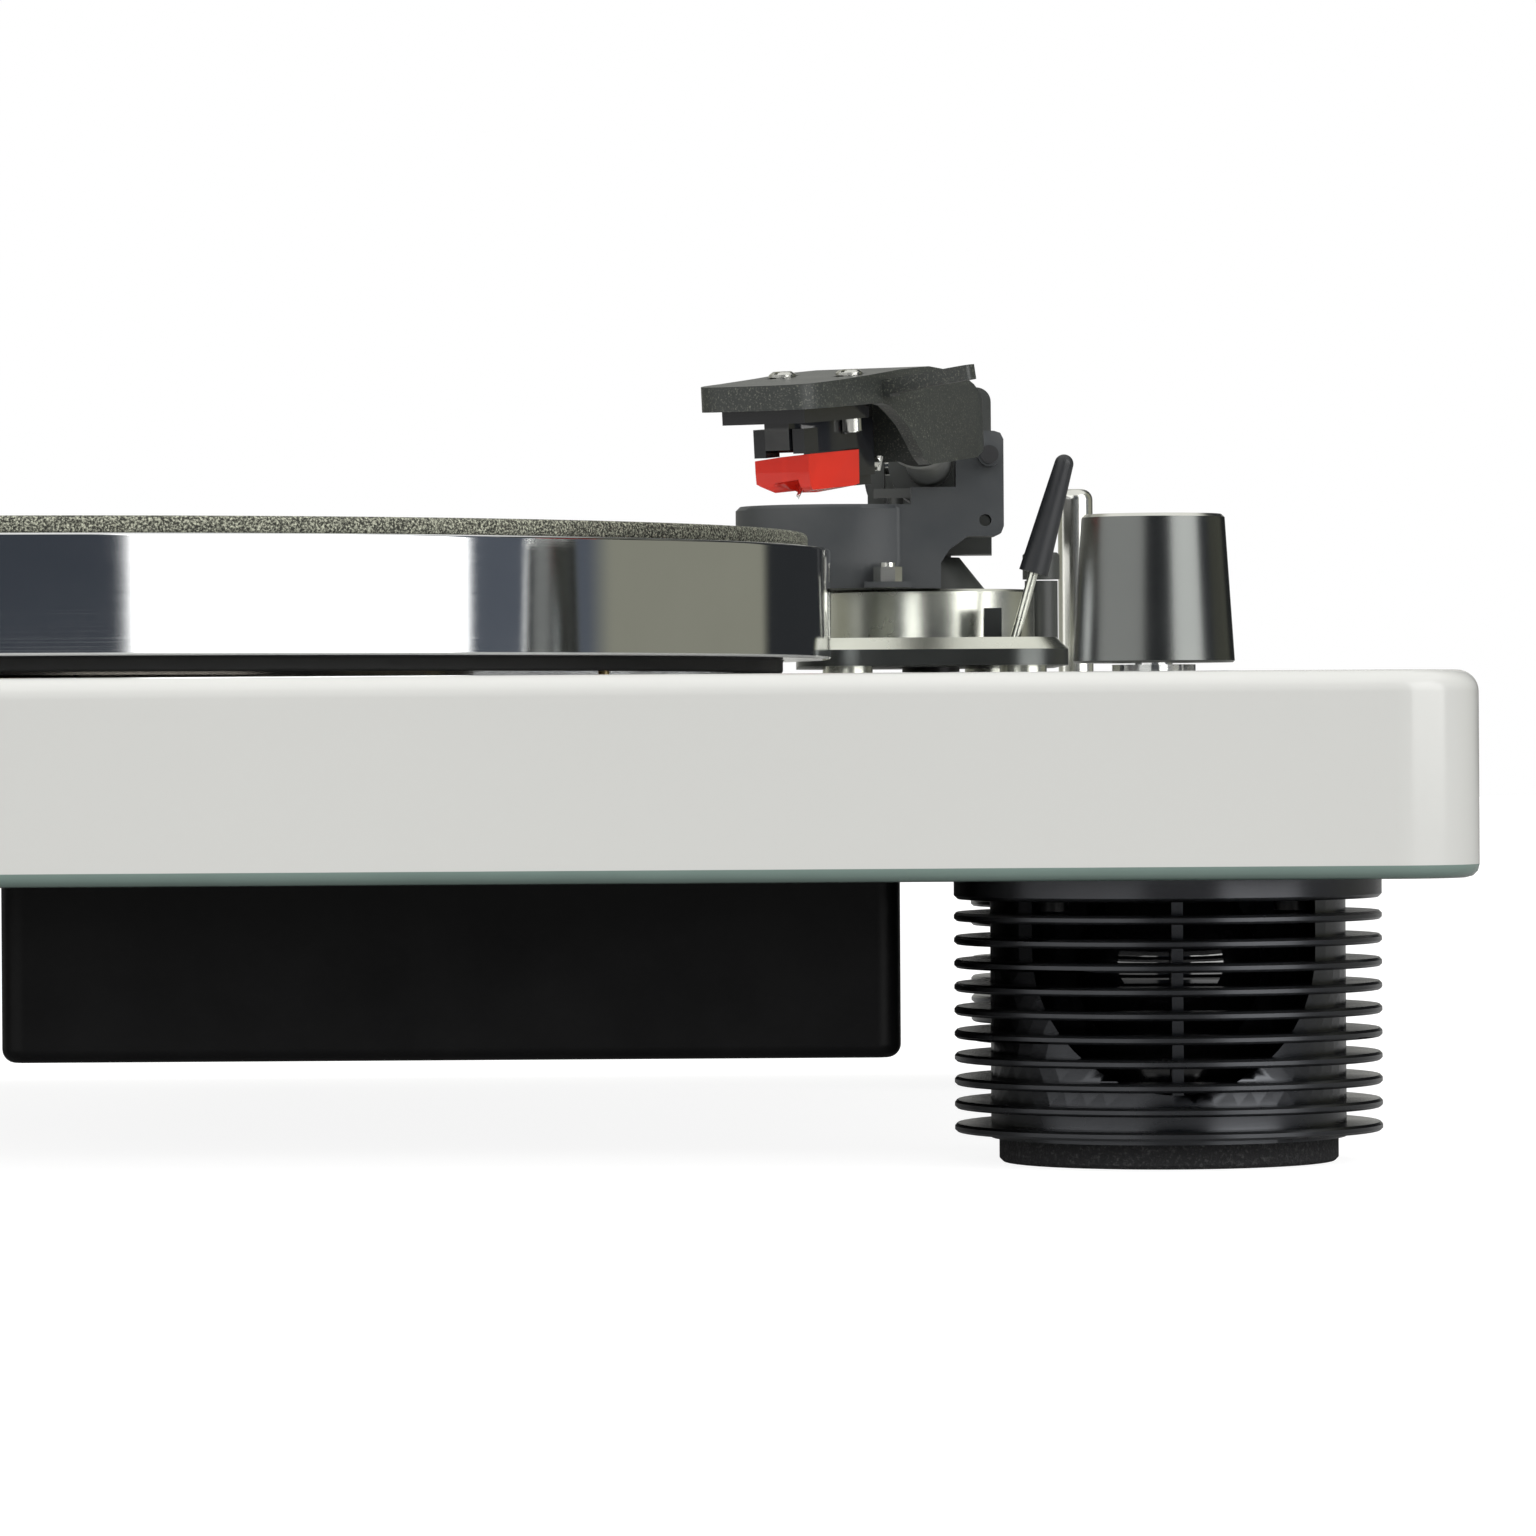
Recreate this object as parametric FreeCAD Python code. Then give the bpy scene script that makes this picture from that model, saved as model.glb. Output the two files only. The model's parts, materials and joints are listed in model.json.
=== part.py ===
import FreeCAD, Part
import math
import os

# Belt-drive record player: a thick coated-glass plinth on four finned isolating feet.
# Frame: millimetres, +X to the right, +Y to the back, +Z up. The origin is the middle of the
# plinth on the surface that the feet stand on.

V = FreeCAD.Vector
UP = V(0, 0, 1)

# Plinth
PLINTH_WIDTH = 450.0
PLINTH_DEPTH = 370.0
PLINTH_BOTTOM = 45.9
DECK = 78.1
PLINTH_CORNER = 14.0
PLINTH_TOP_ARRIS = 3.4
PLINTH_LOWER_CHAMFER = 2.1

# Feet: a finned body, a pad, and a ball in a cup that carries the plinth
FRONT_FOOT_X = 178.7
REAR_FOOT_X = 188.5
FOOT_Y = 131.0
FIN_RADIUS = 34.3
FOOT_WALL_RADIUS = 28.5
FOOT_BORE_RADIUS = 25.2
PAD_RADIUS = 27.2
PAD_HEIGHT = 3.9
FIN_COUNT = 10
FIN_THICKNESS = 1.4
FIN_PITCH = 3.755
TOP_FIN_Z = 39.3
FOOT_FLANGE = 3.8
FOOT_FLOOR = 7.9
FIN_BEVEL = 0.4
WINDOW_HALF_WIDTH = 22.4
WINDOW_STRAIGHT_Z = 34.1
MULLION_WIDTH = 1.8
BALL_RADIUS = 15.0

# Electronics box under the plinth
BOX_X = (-8.4, 135.8)
BOX_Y = (-135.0, 160.0)
BOX_BOTTOM = 16.8
BOX_WALL = 2.6
BOX_FLOOR = 2.4
BOX_CORNER = 4.0

# Platter, drive and bearing
SPINDLE_X = -24.0
SPINDLE_Y = -15.0
PLATTER_RADIUS = 150.0
PLATTER_BOTTOM = 81.7
PLATTER_TOP = 101.0
PLATTER_WEB = 7.4
RIM_INNER_RADIUS = 138.5
MAT_RADIUS = 146.0
MAT_TOP = 103.8
RING_RADIUS = 87.0
RING_WALL = 5.0
RING_BOTTOM = 79.2
DAMPING_RING_WALL = 3.0
DAMPING_RING_DROP = 2.4
JOURNAL_RADIUS = 5.0
RUNNING_FIT = 0.05
RECORD_PIN_RADIUS = 3.575
CENTRING_RADIUS = 4.0
RECORD_PIN_TOP = 117.5
MOTOR_DISTANCE = 110.0
PULLEY_RADIUS = 7.0
BELT_Z = (83.6, 87.6)
BELT_THICKNESS = 0.6
BELT_GAP = 0.1

# Control knob
KNOB_X = 176.8
KNOB_Y = -130.0
KNOB_LOWER_RADIUS = 13.0
KNOB_UPPER_RADIUS = 11.5
KNOB_LIFT = 1.7
KNOB_HEIGHT = 23.8

# Tonearm
PIVOT_X = 146.1
PIVOT_Y = 104.0
ARM_Z = 119.7
TUBE_RADIUS = 4.3
COLLAR_X = 140.3
COLLAR_Y = -84.0
ARM_BASE_X = (120.4, 171.0)
ARM_BASE_Y = (55.0, 150.0)
ARM_BASE_Z = (81.2, 86.4)
DRUM_RADIUS = 19.9
DRUM_TOP = 95.9
PEDESTAL_TOP = 102.2
YOKE_HALF_WIDTH = 11.8
YOKE_TOP = 134.5

# Head shell and cartridge: local axes are U forwards, V to the right, W up
STYLUS_X = 120.0
STYLUS_Y = -122.0
STYLUS_Z = 106.6
SHELL_YAW = 32.0
SHELL_NOSE_DOWN = 4.5
SHELL_HALF_WIDTH = 11.2
NOSE_CENTRE = 3.4
NOSE_REACH = 11.2
SCREW_U = -7.0

M3 = 1.5


def cylinder(radius, low, high, x=0.0, y=0.0):
    """An upright cylinder between two heights."""
    return Part.makeCylinder(radius, high - low, V(x, y, low), UP)


def tube(outer, inner, low, high, x=0.0, y=0.0):
    """An upright tube between two heights."""
    return cylinder(outer, low, high, x, y).cut(cylinder(inner, low - 1, high + 1, x, y))


def rod(start, end, radius):
    """A round bar between two points."""
    axis = V(*end) - V(*start)
    return Part.makeCylinder(radius, axis.Length, V(*start), axis)


def tapered_rod(start, end, start_radius, end_radius):
    """A round bar that tapers between two points."""
    axis = V(*end) - V(*start)
    return Part.makeCone(start_radius, end_radius, axis.Length, V(*start), axis)


def block(x, y, z):
    """A box from three (low, high) pairs."""
    return Part.makeBox(x[1] - x[0], y[1] - y[0], z[1] - z[0], V(x[0], y[0], z[0]))


def rounded_block(x, y, z, radius):
    """A box whose upright edges are rounded."""
    shape = block(x, y, z)
    upright = [e for e in shape.Edges if abs(e.tangentAt(e.FirstParameter).z) > 0.99]
    return shape.makeFillet(radius, upright)


def turned(profile, x=0.0, y=0.0):
    """A solid of revolution about an upright axis, from (radius, height) points."""
    points = [V(x + r, y, z) for r, z in profile]
    face = Part.Face(Part.makePolygon(points + points[:1]))
    return face.revolve(V(x, y, 0), UP, 360)


def extruded(outline, low, high):
    """A flat plate from an outline of (x, y) points."""
    points = [V(x, y, low) for x, y in outline]
    return Part.Face(Part.makePolygon(points + points[:1])).extrude(V(0, 0, high - low))


def front_plate(outline, y_low, y_high):
    """A plate that faces the front, from an outline of (x, z) points."""
    points = [V(x, y_low, z) for x, z in outline]
    return Part.Face(Part.makePolygon(points + points[:1])).extrude(V(0, y_high - y_low, 0))


def joined(shapes):
    """The shapes fused into one clean solid."""
    result = shapes[0]
    if len(shapes) > 1:
        result = shapes[0].fuse(shapes[1:])
    return result.removeSplitter()


def group(shapes):
    """Separate solids that share one node."""
    return Part.makeCompound(shapes)


def belt_loop(x1, y1, r1, x2, y2, r2, low, high):
    """The solid inside a band stretched round two circles in a row along X."""
    distance = x2 - x1
    lean = math.acos((r1 - r2) / distance)
    top1 = V(x1 + r1 * math.cos(lean), y1 + r1 * math.sin(lean), low)
    low1 = V(x1 + r1 * math.cos(lean), y1 - r1 * math.sin(lean), low)
    top2 = V(x2 + r2 * math.cos(lean), y2 + r2 * math.sin(lean), low)
    low2 = V(x2 + r2 * math.cos(lean), y2 - r2 * math.sin(lean), low)
    big = Part.Arc(top1, V(x1 - r1, y1, low), low1).toShape()
    small = Part.Arc(low2, V(x2 + r2, y2, low), top2).toShape()
    lower = Part.LineSegment(low1, low2).toShape()
    upper = Part.LineSegment(top2, top1).toShape()
    return Part.Face(Part.Wire([big, lower, small, upper])).extrude(V(0, 0, high - low))


def screw(x, y, head_low, head_high, tip, radius, head_radius):
    """A pan-head screw, upright, with a hexagon socket in its head."""
    head = cylinder(head_radius, min(head_low, head_high), max(head_low, head_high), x, y)
    shank = cylinder(radius, min(tip, head_low), max(tip, head_low), x, y)
    outward = 1 if head_high > head_low else -1
    depth = 0.5 * abs(head_high - head_low)
    corners = []
    for k in range(6):
        turn = math.radians(60 * k)
        corners.append((x + 0.5 * head_radius * math.cos(turn), y + 0.5 * head_radius * math.sin(turn)))
    start = head_high - outward * depth
    socket = extruded(corners, min(start, head_high + outward), max(start, head_high + outward))
    return joined([head, shank]).cut(socket)


def in_head_frame(shape):
    """Carries a shape from the head shell's local frame, with the stylus tip at zero, to its place."""
    placed = shape.copy()
    placed.rotate(V(0, 0, 0), V(0, 1, 0), SHELL_NOSE_DOWN)
    placed.rotate(V(0, 0, 0), UP, -90 - SHELL_YAW)
    placed.translate(V(STYLUS_X, STYLUS_Y, STYLUS_Z))
    return placed


def at_feet(make):
    """One copy of a foot piece at each of the four corners."""
    pieces = []
    for x, y in FEET:
        piece = make()
        piece.translate(V(x, y, 0))
        pieces.append(piece)
    return pieces


def round_the_foot(x, y):
    """The places of one foot's screws."""
    places = []
    for angle in FOOT_SCREW_ANGLES:
        turn = math.radians(angle)
        places.append((x + FOOT_SCREW_RADIUS * math.cos(turn), y + FOOT_SCREW_RADIUS * math.sin(turn)))
    return places


# Places that several pieces share
FEET = [(FRONT_FOOT_X, -FOOT_Y), (-FRONT_FOOT_X, -FOOT_Y), (REAR_FOOT_X, FOOT_Y), (-REAR_FOOT_X, FOOT_Y)]
MOTOR_X = SPINDLE_X + MOTOR_DISTANCE
MOTOR_Y = SPINDLE_Y
ARM_ANGLE = math.atan2(COLLAR_X - PIVOT_X, PIVOT_Y - COLLAR_Y)
BOX_SCREWS = [(BOX_X[0] + 9, -120.0), (BOX_X[1] - 9, -120.0), (BOX_X[0] + 9, 145.0), (BOX_X[1] - 9, 145.0)]
ARM_SCREWS = [(130.0, 66.0), (162.5, 66.0), (130.0, 139.0), (158.0, 141.5)]
FOOT_SCREW_RADIUS = 22.0
FOOT_SCREW_ANGLES = (90, 210, 330)


def plinth_slab():
    half_x = PLINTH_WIDTH / 2
    half_y = PLINTH_DEPTH / 2
    slab = rounded_block((-half_x, half_x), (-half_y, half_y), (PLINTH_BOTTOM, DECK), PLINTH_CORNER)
    top_edges = [e for e in slab.Edges if abs(e.BoundBox.ZMin - DECK) < 0.01]
    slab = slab.makeFillet(PLINTH_TOP_ARRIS, top_edges)
    bottom_edges = [e for e in slab.Edges if abs(e.BoundBox.ZMax - PLINTH_BOTTOM) < 0.01]
    slab = slab.makeChamfer(PLINTH_LOWER_CHAMFER, bottom_edges)
    holes = [cylinder(9.1, PLINTH_BOTTOM - 1, DECK + 1, SPINDLE_X, SPINDLE_Y)]
    holes.append(cylinder(5.0, PLINTH_BOTTOM - 1, DECK + 1, MOTOR_X, MOTOR_Y))
    holes.append(cylinder(4.0, PLINTH_BOTTOM - 1, DECK + 1, KNOB_X, KNOB_Y))
    holes.append(cylinder(9.0, PLINTH_BOTTOM - 1, PLINTH_BOTTOM + 24, KNOB_X, KNOB_Y))
    holes.append(cylinder(6.2, PLINTH_BOTTOM - 1, DECK + 1, PIVOT_X, PIVOT_Y))
    for x, y in BOX_SCREWS:
        holes.append(cylinder(M3, PLINTH_BOTTOM - 1, PLINTH_BOTTOM + 10, x, y))
    for x, y in ARM_SCREWS:
        holes.append(cylinder(M3, DECK - 14, DECK + 1, x, y))
    for foot_x, foot_y in FEET:
        for x, y in round_the_foot(foot_x, foot_y):
            holes.append(cylinder(M3, PLINTH_BOTTOM - 1, PLINTH_BOTTOM + 9, x, y))
    return slab.cut(holes)


def fin_centres():
    """The heights of the fins' middles."""
    return [TOP_FIN_Z - k * FIN_PITCH for k in range(FIN_COUNT)]


def foot_fin(centre):
    """One fin, with a small bevel on its edge."""
    half = FIN_THICKNESS / 2
    return turned([(FOOT_WALL_RADIUS - 1, centre - half), (FIN_RADIUS - FIN_BEVEL, centre - half),
                   (FIN_RADIUS, centre - half + FIN_BEVEL), (FIN_RADIUS, centre + half - FIN_BEVEL),
                   (FIN_RADIUS - FIN_BEVEL, centre + half), (FOOT_WALL_RADIUS - 1, centre + half)])


def foot_window():
    """The U-shaped opening in the wall, which the mullion and the fins run across."""
    reach = FOOT_WALL_RADIUS + 0.01
    ceiling = PLINTH_BOTTOM - FOOT_FLANGE
    straight = block((-WINDOW_HALF_WIDTH, WINDOW_HALF_WIDTH), (-reach, 0.0), (WINDOW_STRAIGHT_Z, ceiling))
    round_end = Part.makeCylinder(WINDOW_HALF_WIDTH, reach, V(0, -reach, WINDOW_STRAIGHT_Z), V(0, 1, 0))
    wall_ring = tube(FOOT_WALL_RADIUS, FOOT_BORE_RADIUS - 2, PAD_HEIGHT, ceiling)
    mullion = block((-MULLION_WIDTH / 2, MULLION_WIDTH / 2), (-reach - 1, 0), (0, PLINTH_BOTTOM))
    half = FIN_THICKNESS / 2
    rings = [tube(FIN_RADIUS + 1, FOOT_WALL_RADIUS - 1.6, z - half, z + half) for z in fin_centres()]
    return straight.fuse(round_end).common(wall_ring).cut([mullion] + rings)


def foot_body():
    """A turned body with ten fins, and a U-shaped window with a mullion, open to the front."""
    ceiling = PLINTH_BOTTOM - FOOT_FLANGE
    wall = cylinder(FOOT_WALL_RADIUS, PAD_HEIGHT, PLINTH_BOTTOM)
    flange = turned([(0, ceiling), (FIN_RADIUS - 0.6, ceiling), (FIN_RADIUS, ceiling + 0.6),
                     (FIN_RADIUS, PLINTH_BOTTOM), (0, PLINTH_BOTTOM)])
    body = wall.fuse([flange] + [foot_fin(centre) for centre in fin_centres()])
    body = body.cut([cylinder(BALL_RADIUS + 1.0, FOOT_FLOOR, PLINTH_BOTTOM + 1),
                     cylinder(FOOT_BORE_RADIUS, FOOT_FLOOR, ceiling), foot_window()])
    holes = [cylinder(M3 + 0.2, ceiling - 1, PLINTH_BOTTOM + 1, x, y) for x, y in round_the_foot(0, 0)]
    return body.cut(holes).removeSplitter()


def foot_pad():
    profile = [(0, 0), (PAD_RADIUS - 0.6, 0), (PAD_RADIUS, 0.6), (PAD_RADIUS, PAD_HEIGHT), (0, PAD_HEIGHT)]
    return turned(profile)


def isolator_cup():
    """A damping cup with a ball seat, standing on the floor of the foot."""
    low = FOOT_FLOOR
    centre = PLINTH_BOTTOM - BALL_RADIUS
    cup = turned([(0, low), (17.0, low), (17.0, low + 9.0), (15.6, low + 12.0), (0, low + 12.0)])
    return cup.cut(Part.makeSphere(BALL_RADIUS, V(0, 0, centre)))


def isolator_ball():
    return Part.makeSphere(BALL_RADIUS, V(0, 0, PLINTH_BOTTOM - BALL_RADIUS))


def foot_screws():
    seat = PLINTH_BOTTOM - FOOT_FLANGE
    places = [place for foot in FEET for place in round_the_foot(*foot)]
    return group([screw(x, y, seat, seat - 1.8, PLINTH_BOTTOM + 8.5, M3, 2.7) for x, y in places])


# Box under the plinth, with the motor and the electronics

RCA_X = (88.0, 103.0)
RCA_Z = 33.0
GROUND_X = 74.0
USB_X = 57.0
POWER_X = 37.0
ROCKER_X = 17.0
PANEL_THICKNESS = 1.6
ROCKER_DEPTH = 6.5
ROCKER_TILT = 7.0


def box_shell():
    shell = rounded_block(BOX_X, BOX_Y, (BOX_BOTTOM, PLINTH_BOTTOM), BOX_CORNER)
    bottom = [e for e in shell.Edges if abs(e.BoundBox.ZMax - BOX_BOTTOM) < 0.01]
    shell = shell.makeFillet(2.2, bottom)
    inside = block((BOX_X[0] + BOX_WALL, BOX_X[1] - BOX_WALL), (BOX_Y[0] + BOX_WALL, BOX_Y[1] - BOX_WALL),
                   (BOX_BOTTOM + BOX_FLOOR, PLINTH_BOTTOM + 1))
    shell = shell.cut(inside)
    for x, y in BOX_SCREWS:
        shell = shell.fuse(cylinder(4.0, BOX_BOTTOM + 1, PLINTH_BOTTOM, x, y))
        shell = shell.cut([cylinder(M3 + 0.2, BOX_BOTTOM - 1, PLINTH_BOTTOM + 1, x, y),
                           cylinder(2.9, BOX_BOTTOM - 1, BOX_BOTTOM + 3, x, y)])
    rear_window = block((ROCKER_X - 10, RCA_X[1] + 9), (BOX_Y[1] - BOX_WALL - 1, BOX_Y[1] + 1), (23.0, 43.0))
    slots = []
    for k in range(7):
        x = 20.0 + 10 * k
        slots.append(block((x, x + 4.0), (-75.0, -45.0), (BOX_BOTTOM - 1, BOX_BOTTOM + BOX_FLOOR + 1)))
    return shell.cut([rear_window] + slots).removeSplitter()


def box_screws():
    seat = BOX_BOTTOM + 3
    return group([screw(x, y, seat, seat - 1.8, PLINTH_BOTTOM + 9.5, M3, 2.7) for x, y in BOX_SCREWS])


def rear_panel():
    back = BOX_Y[1]
    inner_face = back - BOX_WALL
    panel = block((ROCKER_X - 12, RCA_X[1] + 11), (inner_face - PANEL_THICKNESS, inner_face), (21.5, 43.5))
    holes = [Part.makeCylinder(4.6, 20, V(x, back - 15, RCA_Z), V(0, 1, 0)) for x in RCA_X]
    holes.append(Part.makeCylinder(2.2, 20, V(GROUND_X, back - 15, RCA_Z), V(0, 1, 0)))
    holes.append(block((USB_X - 6.2, USB_X + 6.2), (back - 15, back + 5), (RCA_Z - 5.6, RCA_Z + 5.6)))
    holes.append(Part.makeCylinder(5.1, 20, V(POWER_X, back - 15, RCA_Z), V(0, 1, 0)))
    holes.append(block((ROCKER_X - 6.1, ROCKER_X + 6.1), (back - 15, back + 5), (RCA_Z - 8.1, RCA_Z + 8.1)))
    return panel.cut(holes)


def rca_sockets():
    """Two coaxial output sockets, each a threaded shell with a hollow centre contact."""
    pieces = []
    back = BOX_Y[1]
    for x in RCA_X:
        outer = rod((x, back - 11, RCA_Z), (x, back + 9, RCA_Z), 4.15)
        collar = rod((x, back - BOX_WALL, RCA_Z), (x, back - BOX_WALL + 1.8, RCA_Z), 5.6)
        socket = outer.fuse(collar).cut(rod((x, back - 1, RCA_Z), (x, back + 10, RCA_Z), 3.1))
        contact = rod((x, back - 1.0, RCA_Z), (x, back + 8.0, RCA_Z), 2.2)
        contact = contact.cut(rod((x, back + 0.0, RCA_Z), (x, back + 9.0, RCA_Z), 1.6))
        pieces.append(socket.fuse(contact).removeSplitter())
    return group(pieces)


def ground_post():
    back = BOX_Y[1]
    stem = rod((GROUND_X, back - 9, RCA_Z), (GROUND_X, back + 9, RCA_Z), 2.0)
    washer = rod((GROUND_X, back - BOX_WALL, RCA_Z), (GROUND_X, back - 1.0, RCA_Z), 4.6)
    nut = rod((GROUND_X, back + 2.5, RCA_Z), (GROUND_X, back + 8.0, RCA_Z), 4.4)
    return joined([stem, washer, nut])


def usb_port():
    back = BOX_Y[1]
    shell = block((USB_X - 6.0, USB_X + 6.0), (back - 19, back - 0.6), (RCA_Z - 5.4, RCA_Z + 5.4))
    hollow = block((USB_X - 5.2, USB_X + 5.2), (back - 12, back + 1), (RCA_Z - 4.6, RCA_Z + 4.6))
    tongue = block((USB_X - 2.8, USB_X + 2.8), (back - 13, back - 2.5), (RCA_Z - 1.6, RCA_Z + 1.6))
    return joined([shell.cut(hollow), tongue])


def power_socket():
    back = BOX_Y[1]
    barrel = rod((POWER_X, back - 14, RCA_Z), (POWER_X, back - 0.4, RCA_Z), 5.0)
    barrel = barrel.cut(rod((POWER_X, back - 10.4, RCA_Z), (POWER_X, back + 1, RCA_Z), 2.75))
    pin = rod((POWER_X, back - 11, RCA_Z), (POWER_X, back - 1.4, RCA_Z), 1.05)
    return joined([barrel, pin])


def rocker_bezel():
    back = BOX_Y[1]
    x = ROCKER_X
    z = RCA_Z
    axis_y = back - ROCKER_DEPTH
    flange = block((x - 7.4, x + 7.4), (back - BOX_WALL, back - 1.0), (z - 9.4, z + 9.4))
    throat = block((x - 6.0, x + 6.0), (back - 16, back - BOX_WALL), (z - 8.0, z + 8.0))
    hollow = block((x - 4.9, x + 4.9), (back - 13, back + 1), (z - 7.0, z + 7.0))
    pin_hole = rod((x - 5.7, axis_y, z), (x + 5.7, axis_y, z), 1.0 + RUNNING_FIT)
    return joined([flange, throat]).cut([hollow, pin_hole])


def rocker_button():
    """A two-way rocker with a shallow V-shaped face, on a cross pin, at its off side."""
    back = BOX_Y[1]
    outline = [(back - 8.5, -3.0), (back - 2.4, -6.0), (back - 0.4, -5.6), (back - 1.6, 0.0),
               (back - 0.4, 5.6), (back - 2.4, 6.0), (back - 8.5, 3.0)]
    points = [V(ROCKER_X - 4.5, y, RCA_Z + z) for y, z in outline]
    cap = Part.Face(Part.makePolygon(points + points[:1])).extrude(V(9.0, 0, 0))
    axis_y = back - ROCKER_DEPTH
    pin = rod((ROCKER_X - 5.5, axis_y, RCA_Z), (ROCKER_X + 5.5, axis_y, RCA_Z), 1.0)
    rocker = joined([cap, pin])
    rocker.rotate(V(ROCKER_X, axis_y, RCA_Z), V(1, 0, 0), -ROCKER_TILT)
    return rocker


def main_board():
    """One board with the power supply, the phono amplifier and the digital output."""
    board = block((-2.0, 120.0), (60.0, 139.0), (23.2, 24.8))
    pieces = [board]
    for x, y, r, h in ((10, 70, 5, 12), (22, 70, 5, 12), (8, 86, 4, 9), (88, 74, 3, 8), (100, 74, 3, 8)):
        pieces.append(cylinder(r, 24.8, 24.8 + h, x, y))
    for x, y, w, d, h in ((22, 92, 12, 18, 3), (40, 80, 14, 9, 4), (40, 110, 8, 12, 6)):
        pieces.append(block((x, x + w), (y, y + d), (24.8, 24.8 + h)))
    pieces += [cylinder(2.6, BOX_BOTTOM + BOX_FLOOR, 23.2, x, y) for x in (4, 116) for y in (64, 132)]
    return joined(pieces)


def motor_can():
    profile = [(0, 22.6), (18.0, 22.6), (19.0, 23.6), (19.0, 41.6), (18.0, 42.6), (0, 42.6)]
    can = turned(profile, MOTOR_X, MOTOR_Y)
    boss = cylinder(4.2, 42.6, 47.5, MOTOR_X, MOTOR_Y)
    can = can.fuse(boss).cut(cylinder(1.0 + RUNNING_FIT, 30.0, 50.0, MOTOR_X, MOTOR_Y))
    return can.removeSplitter()


def motor_plate():
    """A steel plate on rubber-isolated standoffs that hangs the motor from the plinth."""
    plate = rounded_block((MOTOR_X - 30, MOTOR_X + 30), (MOTOR_Y - 22, MOTOR_Y + 22), (42.6, 44.1), 5.0)
    plate = plate.cut(cylinder(4.4, 42, 45, MOTOR_X, MOTOR_Y))
    pads = [cylinder(4.0, 44.1, PLINTH_BOTTOM, MOTOR_X + sx * 25, MOTOR_Y + sy * 17)
            for sx in (1, -1) for sy in (1, -1)]
    return joined([plate] + pads)


def motor_pulley():
    """The motor shaft with its crowned two-flange pulley."""
    shaft = cylinder(1.0, 31.0, 90.0, MOTOR_X, MOTOR_Y)
    low, high = BELT_Z
    pulley = turned([(0.5, low - 2.2), (8.2, low - 2.2), (8.2, low - 1.2), (PULLEY_RADIUS - 0.3, low - 0.6),
                     (PULLEY_RADIUS, (low + high) / 2), (PULLEY_RADIUS - 0.3, high + 0.6), (8.2, high + 1.2),
                     (8.2, high + 2.0), (0.5, high + 2.0)], MOTOR_X, MOTOR_Y)
    return joined([shaft, pulley])


def drive_belt():
    ring = RING_RADIUS + BELT_GAP
    pulley = PULLEY_RADIUS + BELT_GAP
    low, high = BELT_Z
    outer = belt_loop(SPINDLE_X, SPINDLE_Y, ring + BELT_THICKNESS, MOTOR_X, MOTOR_Y,
                      pulley + BELT_THICKNESS, low, high)
    inner = belt_loop(SPINDLE_X, SPINDLE_Y, ring, MOTOR_X, MOTOR_Y, pulley, low - 1, high + 1)
    return outer.cut(inner)


# Bearing and platter

BEARING_FLOOR = 50.0
THRUST_BALL_RADIUS = 2.5
SHAFT_BOTTOM = BEARING_FLOOR + 2 * THRUST_BALL_RADIUS


def bearing_housing():
    body = turned([(0, 46.4), (9.0, 46.4), (9.0, DECK), (17.0, DECK), (17.0, DECK + 1.2), (16.4, DECK + 1.8),
                   (0, DECK + 1.8)], SPINDLE_X, SPINDLE_Y)
    return body.cut(cylinder(JOURNAL_RADIUS + RUNNING_FIT, BEARING_FLOOR, DECK + 3, SPINDLE_X, SPINDLE_Y))


def thrust_ball():
    return Part.makeSphere(THRUST_BALL_RADIUS, V(SPINDLE_X, SPINDLE_Y, BEARING_FLOOR + THRUST_BALL_RADIUS))


def spindle_shaft():
    top = RECORD_PIN_TOP
    profile = [(0, SHAFT_BOTTOM), (4.4, SHAFT_BOTTOM), (JOURNAL_RADIUS, SHAFT_BOTTOM + 0.6),
               (JOURNAL_RADIUS, PLATTER_TOP - PLATTER_WEB), (CENTRING_RADIUS, PLATTER_TOP - PLATTER_WEB),
               (CENTRING_RADIUS, MAT_TOP - 0.1), (RECORD_PIN_RADIUS, MAT_TOP - 0.1),
               (RECORD_PIN_RADIUS, top - 3.2), (2.9, top - 1.3), (1.6, top - 0.3), (0, top)]
    return turned(profile, SPINDLE_X, SPINDLE_Y)


def sub_platter():
    web_low = PLATTER_TOP - PLATTER_WEB - 4.0
    web_high = PLATTER_TOP - PLATTER_WEB
    profile = [(JOURNAL_RADIUS, 80.4), (14.0, 80.4), (16.0, 82.4), (16.0, web_low),
               (RING_RADIUS - RING_WALL, web_low), (RING_RADIUS - RING_WALL, RING_BOTTOM),
               (RING_RADIUS, RING_BOTTOM), (RING_RADIUS, web_high), (JOURNAL_RADIUS, web_high)]
    shape = turned(profile, SPINDLE_X, SPINDLE_Y)
    windows = []
    for k in range(6):
        angle = math.radians(60 * k)
        x = SPINDLE_X + 48 * math.cos(angle)
        y = SPINDLE_Y + 48 * math.sin(angle)
        windows.append(cylinder(15.0, web_low - 1, web_high + 1, x, y))
    return shape.cut(windows)


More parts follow.
